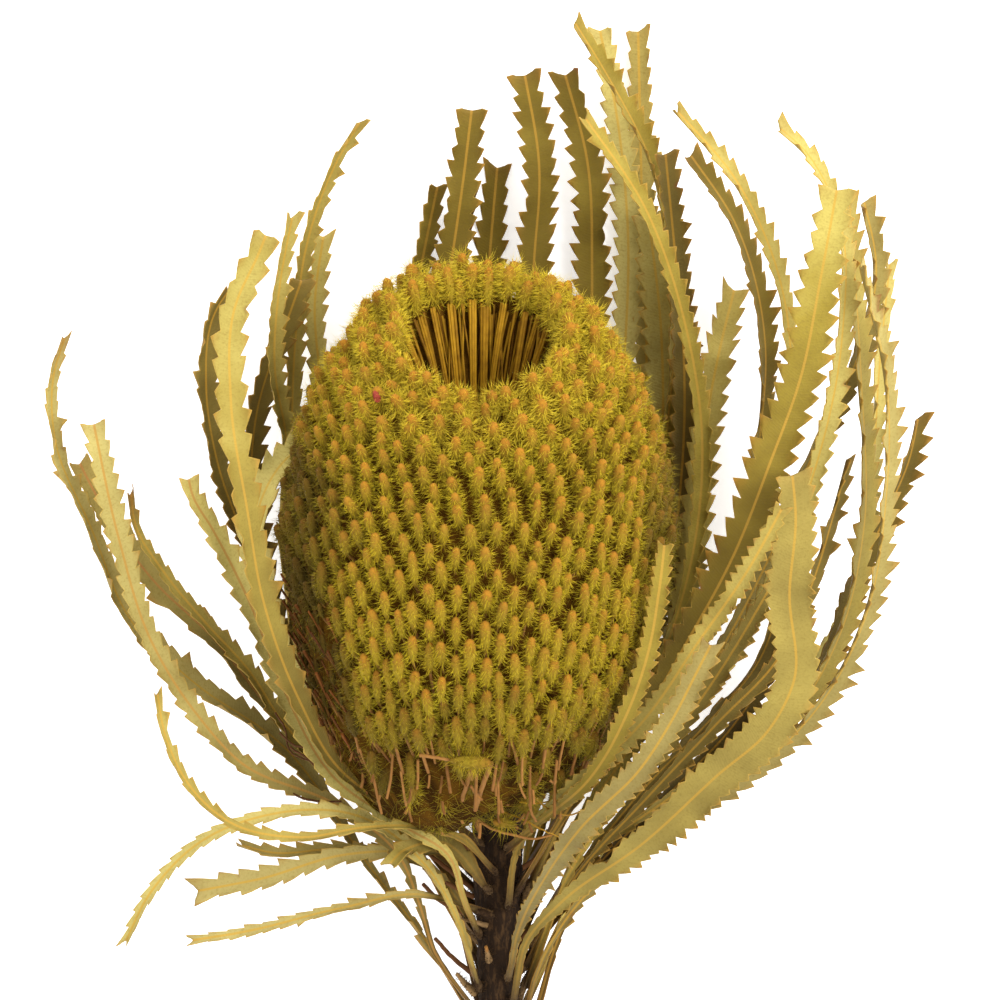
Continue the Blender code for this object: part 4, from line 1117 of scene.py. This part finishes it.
class Florets:
    """The head's florets, in columns and one on top of each bundle of the crown, with their stalks."""

    def __init__(self, rng, bundles):
        angle, outer, _ = bundles
        lip = [angle, outer + 0.6, np.full(BUNDLES, FUNNEL_TOP + 4.6), np.ones(BUNDLES)]
        angle, radius, axial, row = np.concatenate([floret_layout(rng), lip], axis=1)
        # How far each floret belongs to the crown's lip, the loose lower rows and the tangled lowest ones
        crown = ease((row - 0.84) / 0.12)
        loose = ease((0.36 - row) / 0.3)
        messy = ease((0.13 - row) / 0.06)
        self.rng, self.row, self.crown, self.loose, self.messy = rng, row, crown, loose, messy
        self.count = len(row)
        self.angle = angle + rng.normal(0.0, 0.3 + 0.5 * loose) / radius
        self.axial = axial + rng.normal(0.0, 0.6 + 1.3 * loose)
        self.left = -np.cos(self.angle)
        swollen = ease((self.left - 0.2) / 0.5) * ease((0.45 - row) / 0.2)
        radius = radius + rng.normal(0.0, 0.45 + 0.8 * loose) + 0.4 * crown + 3.0 * swollen
        lean = 13.0 + 10.0 * ease((row - 0.6) / 0.4) - 8.0 * crown + rng.normal(0.0, 4.0 + 6.0 * crown)
        aim = flower_directions(self.angle, np.sin(np.radians(lean)), np.cos(np.radians(lean)))
        stray = 0.05 + 0.14 * loose + 0.45 * messy
        self.aim = unit(aim + rng.normal(0.0, 1.0, (self.count, 3)) * stray[:, None])
        self.flank = ease((self.left - 0.62) / 0.25) * ease((0.62 - row) / 0.2)
        bald = self.flank > rng.uniform(0.3, 0.95, self.count)
        length = rng.uniform(0.86, 1.12, self.count) * (1.0 - 0.1 * crown)
        length = length * (1.0 - 0.04 * loose - 0.1 * self.messy)
        length = length * np.where(bald, 0.6, 1.0) * (1.0 + rng.uniform(-0.2, 0.1, self.count) * loose)
        girth = rng.uniform(0.86, 1.14, self.count) * (1.0 + 0.12 * crown) * np.where(bald, 0.5, 1.0)
        self.size = np.stack([girth, girth, length], axis=1)
        middle = flower_points(self.angle, radius, self.axial)
        self.base = middle - self.aim * (0.5 * FLORET_LENGTH * length)[:, None]

    def spots(self):
        """The points where the florets start, with all that their shape and finish need to know."""
        rng, row, crown, count = self.rng, self.row, self.crown, self.count
        # Painted shade: the head's left flank, both edges and its underside are darkened, with a random
        # spread from floret to floret.
        underside = ease((0.55 - row) / 0.3)
        edges = ease((self.left - 0.6) / 0.3) * ease((0.86 - row) / 0.14)
        edges = edges + ease((-self.left - 0.74) / 0.24) * ease((0.84 - row) / 0.2)
        gloom = 1.1 * self.flank + 0.8 * edges + 0.58 * underside + rng.normal(0.0, 0.1 + 0.1 * self.messy)
        kept = (row > 0.3) | (self.messy > 0.4) | (rng.random(count) > 0.5)
        spots = {
            "tone": np.clip(rng.normal(0.5, 0.22, count) + 0.3 * crown, 0.0, 1.0),
            "shag": 1.0 + 0.4 * crown + 0.45 * self.loose + 0.3 * self.messy
            + rng.uniform(-0.1, 0.15, count),
            # The crown's lip gets painted light; the painted shade is worked out above.
            "aim": self.aim, "size": self.size, "glow": crown, "gloom": np.clip(gloom, 0.0, 1.0),
            "bush": 1.0 + 0.6 * crown,
        }
        # One more has fallen off, and lies across the lower ones.
        spots = {key: np.concatenate([values[kept], values[:1]]) for key, values in spots.items()}
        fallen = seen_path(FALLEN_FLORET, 2)
        spots["aim"][-1] = unit(fallen[1] - fallen[0])
        # The fallen floret gets a little painted shade.
        spots["gloom"][-1] = 0.3
        spots["size"][-1] = (1.25, 1.25, 1.05)
        return new_object("floret_spots", np.concatenate([self.base[kept], fallen[:1]]), (), **spots)

    def stalks(self):
        """Stalks from each floret down and inwards to the core, longer and straighter near the base."""
        rng, row, count = self.rng, self.row, self.count
        hanging = ease((0.42 - row) / 0.2)
        drop = np.radians(34.0 - 26.0 * hanging + rng.normal(0.0, 5.0, count))
        reach = rng.uniform(7.0, 9.0, count) + rng.uniform(-4.0, 4.0, count) * hanging
        reach = np.where((row < 0.27) & (rng.random(count) < 0.62), 2.5, reach)
        longest = self.axial - 0.5 * FLORET_LENGTH + HANGING_END + rng.normal(0.0, 1.4, count)
        reach = np.maximum(np.minimum(reach, longest), 1.5)[:, None]
        heading = flower_directions(self.angle, -np.sin(drop), -np.cos(drop))
        self.bend = rng.normal(0.0, 1.0, (count, 3)) * (0.3 + 0.6 * hanging)[:, None]
        middles = self.base + 0.6 * heading * reach + 0.5 * self.bend
        ends = self.base + heading * reach + self.bend
        paths = np.stack([self.base + self.aim * 0.5, middles, ends], axis=1)
        girths, tones = rng.uniform(0.24, 0.36, count), rng.random(count)
        tubes = Tubes()
        for below in np.flatnonzero(self.crown == 0.0):
            tubes.add(paths[below], girths[below], tones[below])
        return tubes.piece("floret_stalks", STALK, 5)

    def bare_tubes(self):
        """Reddish tubes on the left flank, where florets have dropped, which take up the stalks' bends."""
        rng, count = self.rng, self.count
        slant = flower_directions(self.angle, np.full(count, 0.42), np.full(count, 0.9))
        slant = unit(slant + rng.normal(0.0, 0.07, (count, 3)))
        ends = self.base + rng.uniform(4.5, 8.0, count)[:, None] * slant
        paths = np.stack([self.base + 0.4 * self.bend - 2.5 * slant, self.base + 2.5 * slant, ends], axis=1)
        paths = paths[self.flank > 0.35]
        tubes = Tubes()
        for path, thick, tone in zip(paths, rng.uniform(0.18, 0.4, len(paths)), rng.random(len(paths))):
            tubes.add(path, (0.2, 0.24, thick), tone)
        return tubes.piece("bare_tubes", RED_TUBE, 5)


def floret_shape():
    """One floret's body, round and closed, with its rise from foot to tip and how fuzzy it is there."""
    share, height, fuzz = np.array(FLORET_PROFILE).T[:, :, None]
    turn = around(FLORET_SIDES)
    radius = FLORET_GIRTH * share
    places = np.broadcast_arrays(radius * np.cos(turn), radius * np.sin(turn), FLORET_LENGTH * height)
    return new_object(
        "floret_shape", np.stack(places, axis=-1).reshape(-1, 3), ring_faces(len(share), FLORET_SIDES),
        rise=np.repeat(height, FLORET_SIDES), fuzz=np.repeat(fuzz, FLORET_SIDES),
    )


def build_head(rng):
    """The head: florets in columns, stalks, hairs, the dark core and the crown's funnel of tubes."""
    bundles = lip_bundles(rng)
    layout = Florets(rng, bundles)
    spots = layout.spots()
    body = floret_shape()
    florets = grown("florets", spots, stand_tree, Shape=body, Material=FLORET, Seed=3)
    bpy.data.objects.remove(body)
    grow_hair("floret_hairs", florets, HAIR, "flower_head", density=2.75, length=2.35, scatter=0.7, seed=5)
    dress(florets, FLORET, "flower_head")
    dress(layout.stalks(), STALK, "flower_head")
    dress(layout.bare_tubes(), RED_TUBE, "flower_head")
    core = core_piece(rng)
    grow_hair("core_fuzz", core, HAIR, "flower_head", density=0.7, length=4.4, scatter=1.0, seed=9, lean=0.2)
    dress(core, CORE, "flower_head", "flower_head")
    dress(funnel_tubes(rng, bundles), FUNNEL, "flower_head")


def grow_hair(name, surface, material, slot, density, length, scatter, seed, lean=0.0):
    """Covers a surface with hairs, this many to a square millimetre, and dresses them in pieces."""
    points = [(HAIR_RADIUS * math.cos(a), HAIR_RADIUS * math.sin(a), 0.0) for a in (0.0, 2.1, 4.2)]
    hair = new_object("hair_shape", points + [(0.0, 0.0, 1.0)], HAIR_FACES, along=(0.0, 0.0, 0.0, 1.0))
    hairs = grown(
        name, placed(name + "_ground", surface.data.copy()), hair_tree, Shape=hair, Material=material,
        Seed=seed, Density=density / METRE**2, Length=length, Scatter=scatter, Lean=lean,
    )
    bpy.data.objects.remove(hair)
    for part in split_evenly(hairs):
        dress(part, material, slot)


def split_evenly(piece):
    """Cuts a mesh of hairs into several objects that stay under the export's limit for a piece."""
    data = piece.data
    corners = len(HAIR_FACES)  # a hair has as many points as faces
    hairs = len(data.vertices) // corners
    parts = max(1, math.ceil(len(HAIR_FACES) * hairs / MOST_TRIANGLES))
    points = np.empty(3 * corners * hairs, np.float32)
    data.vertices.foreach_get("co", points)
    points = points.reshape(-1, 3) / METRE
    values = {}
    for key in ("along", "tone", "gloom", "glow"):
        if key in data.attributes:
            values[key] = np.empty(corners * hairs, np.float32)
            data.attributes[key].data.foreach_get("value", values[key])
    made = []
    for part in range(parts):
        chosen = np.arange(hairs)[part::parts]
        vertices = (corners * chosen[:, None] + np.arange(corners)).ravel()
        faces = corners * np.arange(len(chosen))[:, None, None] + np.array(HAIR_FACES)
        made.append(new_object(
            f"{piece.name}_{part + 1}", points[vertices], faces.reshape(-1, 3).tolist(),
            **{key: layer[vertices] for key, layer in values.items()},
        ))
    bpy.data.objects.remove(piece)
    return made


def core_piece(rng):
    """The dark core under the florets, open at the crown, where its funnel runs down."""
    rise = np.radians(np.linspace(CORE_START, CROWN_START, 36))
    below = ease((-np.degrees(rise) - 25.0) / 35.0)
    radius, half = CORE_RADIUS + 1.8 * below, CORE_HALF_LENGTH + 9.0 * below
    outer = np.stack([radius * np.cos(rise), half * np.sin(rise)], axis=1)
    profile = np.concatenate([outer, [
        (19.0, 42.5), (FUNNEL_MOUTH + 1.5, 42.0), (FUNNEL_MOUTH - 1.0, 36.0),
        (10.5, 26.0), (FUNNEL_THROAT + 1.0, FUNNEL_FLOOR),
    ]])
    height = profile[:, 1:]
    turn = around(CORE_SIDES)
    left = -np.cos(turn)
    flank = ease((left - 0.6) / 0.3) * ease((4.0 - height) / 16.0)
    swollen = ease((left - 0.2) / 0.5) * ease((-14.0 - height) / 20.0)
    radius = profile[:, :1] + 2.4 * flank + 2.6 * swollen + rng.normal(0.0, 0.3, (len(profile), CORE_SIDES))
    sag = 5.0 * ease((0.25 + left) / 0.7) * ease((-32.0 - height) / 22.0)
    points = flower_points(turn, radius, height - sag).reshape(-1, 3)
    level = np.repeat(height, CORE_SIDES)
    low = 1.0 - ease((level + 46.0) / 30.0)
    outside = np.arange(len(level)) < len(outer) * CORE_SIDES
    # Its hairs get painted shade, more of it low down and with a random spread, and no painted light.
    return new_object(
        "head_core", points, ring_faces(len(profile), CORE_SIDES), aim=unit(points - HEAD_CENTRE),
        fuzz=(level < 44.0) & outside, bush=1.2 + 2.4 * low + 1.2 * flank.ravel(),
        shag=0.8 + 0.5 * low + rng.uniform(0.0, 0.6, len(low)), tone=0.5,
        gloom=0.25 + 0.5 * low + rng.normal(0.0, 0.22, len(low)), glow=0.0,
    )


def funnel_tubes(rng, bundles):
    """Straight tubes that line the crown's funnel and converge downwards: ribbed bundles and single ones."""
    tubes = Tubes()
    share = np.linspace(0.0, 1.0, 6)
    inward = share**0.85
    descent = (FUNNEL_FLOOR - FUNNEL_TOP) * share
    for angle, outer, inner in zip(*bundles):
        tone, lean, stout = rng.uniform(0.0, 0.6), rng.normal(0.0, 0.12), rng.uniform(0.5, 1.0)
        for strand in (-1.0, 0.0, 1.0):
            radius = outer + (inner - outer) * inward - 0.3 * (1.0 - abs(strand))
            swing = angle + lean * share + stout * strand * (0.56 - 0.26 * share) / radius
            path = flower_points(swing, radius, FUNNEL_TOP + 1.0 + descent)
            tubes.add(path, 0.4 * stout * (1.1 - 0.5 * share), tone + rng.uniform(-0.05, 0.25))
    for turn in range(SINGLE_TUBES):
        angle = 2.0 * math.pi * (turn + rng.uniform(-1.0, 1.0)) / SINGLE_TUBES
        outer = FUNNEL_MOUTH + rng.uniform(-0.6, 1.2)
        inner = FUNNEL_THROAT + rng.uniform(0.0, 2.5)
        swing = angle + rng.normal(0.0, 0.22) * share + rng.normal(0.0, 0.03) * np.sin(math.pi * share)
        top = FUNNEL_TOP + rng.uniform(-2.5, 1.0)
        path = flower_points(swing, outer + (inner - outer) * inward, top + descent)
        tubes.add(path, rng.uniform(0.16, 0.3) * (1.1 - 0.3 * share), rng.uniform(0.3, 1.1))
    return tubes.piece("funnel_tubes", FUNNEL, 6)


# Loose strands and stubs: material, girth at the start and at the end, tone, stations (across, up, front)
STRANDS = (
    ("stalk", 0.42, 0.3, 0.1, ((-11.6, -42.8, 31.5), (-8.5, -43.3, 33), (-5.4, -43.8, 33.5))),
    ("stalk", 0.5, 0.4, 0.3, ((-1.4, -46, 29.5), (-2.6, -50, 25.5), (-3.9, -54.8, 18))),
    ("stalk", 0.55, 0.42, 0.0, ((2.6, -44.5, 30.5), (1.0, -49, 27), (-0.6, -54.6, 19))),
    ("stalk", 0.4, 0.3, 0.5, ((5.8, -37, 34), (7.3, -42, 31), (9, -48.8, 25))),
    ("stalk", 0.36, 0.3, 0.6, ((-17.5, -36, 29), (-16.4, -42, 26.5), (-14.2, -48, 21))),
    ("stalk", 0.4, 0.28, 0.9, ((-24.5, -33, 24.5), (-22, -38, 23), (-20.4, -43, 20.5))),
    ("stalk", 0.34, 0.22, 0.1, ((-0.6, -56, 14), (2.6, -58, 15), (7, -59.4, 16), (11.5, -60.2, 15),
                              (15, -59.4, 13))),
    ("tube", 0.2, 0.14, 0.4, ((5, -54.8, 15), (9, -56.2, 16), (13, -58.4, 15), (16.5, -60, 13))),
    ("tube", 0.2, 0.14, 0.1, ((6, -52, 18), (11, -53, 17), (16, -52, 15), (21, -49.6, 12))),
    ("tube", 0.22, 0.16, 0.6, ((10, -50, 22), (14, -54, 17), (18, -55.5, 13), (24, -53, 9))),
    ("bark", 0.26, 0.2, 0.9, ((-39.6, -49.9, 2), (-36, -52, 4), (-32, -52.8, 6), (-27.6, -52.7, 8))),
    ("bark", 0.24, 0.2, 0.6, ((-40, -39, 0), (-37, -41.5, 3), (-33, -42.2, 5), (-28, -45, 9))),
    ("bark", 0.26, 0.2, 0.4, ((-38, -42, -2), (-34, -44.5, 2), (-31, -47.5, 5), (-25, -49, 9))),
    ("bark", 0.22, 0.16, 0.7, ((-41, -35, -4), (-39, -38, 0), (-38, -42.5, 3), (-33, -45, 6))),
    ("bark", 0.45, 0.65, 0.2, ((-8.6, -59.6, 1), (-5, -61, 1), (-1.4, -62.6, 1))),
    ("bark", 0.42, 0.6, 0.4, ((-10.4, -63.4, -2), (-6, -63.5, -2), (-1.2, -63.6, -1))),
    ("bark", 0.4, 0.6, 0.3, ((-10, -63.8, -1), (-6, -67, -1), (-1.4, -70.6, -1))),
    ("bark", 0.42, 0.62, 0.1, ((-6.6, -69.6, 0), (-4, -71, 0), (-0.8, -72.6, 0))),
    ("bark", 0.42, 0.6, 0.2, ((-11.2, -70, -2), (-9, -72.4, -2), (-1, -77, -2))),
    ("bark", 0.4, 0.6, 0.4, ((-8.8, -81.2, -1), (-6, -84.4, -1), (-0.6, -89, -1))),
    ("bark", 0.42, 0.62, 0.3, ((17.6, -61.2, -2), (14, -63.4, -2), (8.4, -67, -1))),
    ("bark", 0.42, 0.65, 0.1, ((15.2, -65.2, -3), (12, -68, -3), (7.6, -72, -1))),
    ("bark", 0.42, 0.6, 0.3, ((17.2, -73.6, -4), (13, -77, -3), (8, -82, -1))),
    ("wool", 0.35, 0.6, 0.5, ((-3.4, -77, 5.2), (-0.6, -77.6, 5.2), (1.8, -78.4, 4.6))),
    ("wool", 0.3, 0.8, 0.0, ((-0.2, -69.2, 5.6), (0.9, -69.9, 5.3), (2.2, -70.8, 4.6))),
    ("wool", 0.4, 0.8, 0.2, ((1.7, -83.2, 5.7), (1.9, -84.2, 5.5), (2.2, -85.6, 4.5))),
    ("stalk", 0.35, 0.3, 0.0, ((1.5, -82.6, 6.1), (1.65, -83.0, 6.1), (1.8, -83.6, 5.8))),
    ("wool", 1.0, 0.4, -0.6, ((-0.6, -92.5, -1.0), (-2.6, -90.6, -1.0), (-4.4, -88.6, -1.0))),
    ("bud", 0.55, 0.74, 0.5, ((-20.3, 29.1, 14.4), (-20.0, 28.5, 15.2), (-19.8, 27.9, 15.7))),
)


def build_trim(rng, leaves):
    """Loose strands, cut tubes, brown stubs, and the woolly flare where each leaf meets the stem."""
    kinds = {
        "stalk": (STALK, "flower_head"), "tube": (FUNNEL, "flower_head"), "bark": (TWIG, "stem"),
        "wool": (WOOL, "stem"), "bud": (BUD, "flower_head"),
    }
    gathered = {kind: Tubes() for kind in kinds}
    for kind, start, end, tone, stations in STRANDS:
        path = seen_path(stations)
        girth = np.linspace(start, end, len(path))
        gathered[kind].add(path + rng.normal(0.0, 0.04, path.shape), girth, tone)
    for leaf in leaves:
        centre, _, out = leaf.frames()
        step = centre[1] - centre[0]
        share = np.linspace(-0.35, 0.75, len(FLARE_GIRTHS))[:, None] * FLARE_LENGTH / np.linalg.norm(step)
        gathered["wool"].add(centre[0] + step * share + 0.3 * out[0], FLARE_GIRTHS, rng.uniform(0.7, 1.4))
    for kind, (material, slot) in kinds.items():
        piece = gathered[kind].piece("loose_" + kind, material, 8)
        if kind == "wool":
            mark(piece.data, fuzz=1.0, bush=1.0, shag=1.0, aim=(0.0, 1.0, 0.0))
            grow_hair(
                "flare_wool", piece, FLEECE, slot, density=3.2, length=1.5, scatter=0.8, seed=17, lean=0.3
            )
        dress(piece, material, slot)


def stem_cut(rng):
    """The pale cut face at the stem's lower end, with a short skirt that runs up inside the bark."""
    turn = around(CUT_SIDES)
    radius = np.array([4.0, STEM_RADIUS - 0.25, 3.2, 2.2, 1.2])
    sawn = -STEM_END - 0.12 - 0.05 * rng.random((len(radius) - 1, CUT_SIDES))
    axial = np.concatenate([np.full((1, CUT_SIDES), -STEM_END + 0.4), sawn])
    across, front = radius[:, None] * np.cos(turn), radius[:, None] * np.sin(turn)
    points = np.stack(along_axis(STEM_SHIFT + across, front, axial), axis=-1).reshape(-1, 3)
    faces = [face[::-1] for face in ring_faces(len(radius), CUT_SIDES)]
    return new_object("stem_cut", points, faces, from_pith=np.repeat(radius, CUT_SIDES))


def build_stem(rng):
    """The stem: woolly bark with low ridges, and short dark hairs."""
    axial = np.linspace(-STEM_END, STEM_TOP, 150)[:, None]
    turn = around(STEM_SIDES)
    radius = stem_radius(axial) * np.ones(STEM_SIDES)
    rough = rng.normal(0.0, 0.16, radius.shape)
    rough += 0.25 * np.sin(3.0 * turn + 0.09 * axial) * np.sin(0.21 * axial)
    radius = radius - 0.25 + rough
    radius[0] = STEM_RADIUS - 0.05
    across, front = STEM_SHIFT + radius * np.cos(turn), radius * np.sin(turn)
    points = np.stack(along_axis(across, front, axial), axis=-1).reshape(-1, 3)
    points[:, 2] = np.maximum(points[:, 2], 0.0)
    grain = np.stack(np.broadcast_arrays(across, front, 0.22 * axial), axis=-1).reshape(-1, 3)
    stem = new_object(
        "stem_bark", points, ring_faces(len(axial), STEM_SIDES), grain=grain * METRE,
        fuzz=ease((points[:, 2] - 2.0) / 2.0), bush=1.0, shag=1.0,
    )
    dress(stem_cut(rng), CUT_WOOD, "stem")
    grow_hair("stem_wool", stem, FLEECE, "stem", density=1.7, length=1.1, scatter=0.8, seed=13)
    dress(stem, BARK, "stem", "stem")


def build_stage():
    """A pale floor, soft even light and the camera."""
    corners = [(x * FLOOR_HALF, y * FLOOR_HALF, 0.0) for x, y in ((-1, -1), (1, -1), (1, 1), (-1, 1))]
    floor = new_object("floor", corners, [(0, 1, 2, 3)])
    floor.location.z = -0.00005
    floor.data.materials.append(floor_material())
    scene = bpy.context.scene
    scene.view_settings.view_transform = "Standard"
    scene.world = bpy.data.worlds.new("studio")
    scene.world.use_nodes = True
    background = scene.world.node_tree.nodes["Background"]
    background.inputs["Color"].default_value = WHITE
    background.inputs["Strength"].default_value = 1.0
    for name, place, size, power in (  # millimetres, metres and watts
        ("key", (700.0, 500.0, 1100.0), 0.9, 22.0),
        ("fill", (-700.0, -300.0, 900.0), 1.2, 4.0),
        ("crown", (100.0, 1200.0, 500.0), 0.9, 7.0),
    ):
        light = bpy.data.lights.new(name, "AREA")
        light.shape = "DISK"
        light.size = size
        light.energy = power
        aim_at(placed(name, light), np.array(place), HEAD_CENTRE)
    lens = bpy.data.cameras.new("camera")
    lens.sensor_width = SENSOR
    lens.lens = SENSOR * CAMERA_DISTANCE / IMAGE_WIDTH
    lens.clip_end = 10.0
    scene.camera = placed("camera", lens)
    eye, target = [to_part(np.array([*VIEW_CENTRE, depth])) for depth in (CAMERA_DISTANCE, 0.0)]
    aim_at(scene.camera, eye, target)


def aim_at(thing, place, target):
    """Puts a lamp or the camera at a place, looking at the target with the crown's side up."""
    back = unit(place - target)
    right = unit(np.cross(np.array([0.0, 1.0, 0.0]), back))
    matrix = np.eye(4)
    matrix[:3] = np.stack([right, np.cross(back, right), back, place * METRE], axis=1)
    thing.matrix_world = Matrix(matrix.tolist())


def build_leaves():
    """All leaves, moved clear of one another and dressed. Each blade has its own random draws."""
    sheaves = {"left": LEFT_LEAVES, "low": LOW_LEAVES, "right": RIGHT_LEAVES, "back": BACK_LEAVES}
    leaves = [
        Leaf(f"leaf_{sheaf}_{number:02d}", row)
        for sheaf, rows in sheaves.items()
        for number, row in enumerate(rows, 1)
    ]
    part_leaves(leaves)
    for index, leaf in enumerate(leaves):
        blade = FineBlade(leaf, np.random.default_rng(100 + index)).build()
        dress(blade, LEAF, leaf.name, leaf.name)
    return leaves


LEAF = leaf_material()
FLORET = floret_material()
HAIR = hair_material()
STALK = tube_material("stalk_dry", (202, 142, 74), (128, 80, 34))
RED_TUBE = tube_material("tube_reddish", (158, 92, 36), (72, 42, 14))
FUNNEL = tube_material("funnel_dry", (228, 172, 40), (100, 56, 12), 0.55)
TWIG = tube_material("twig_brown", (140, 92, 52), (84, 50, 26))
WOOL = tube_material("wool_brown", (196, 156, 104), (64, 44, 26), 0.95)
BUD = tube_material("bud_red", (190, 84, 62), (138, 40, 38))
FLEECE = fleece_material()
CUT_WOOD = cut_material()
CORE = core_material()
BARK = stem_material()

build_stage()
leaves = build_leaves()
build_head(np.random.default_rng(7))
build_stem(np.random.default_rng(11))
build_trim(np.random.default_rng(13), leaves)
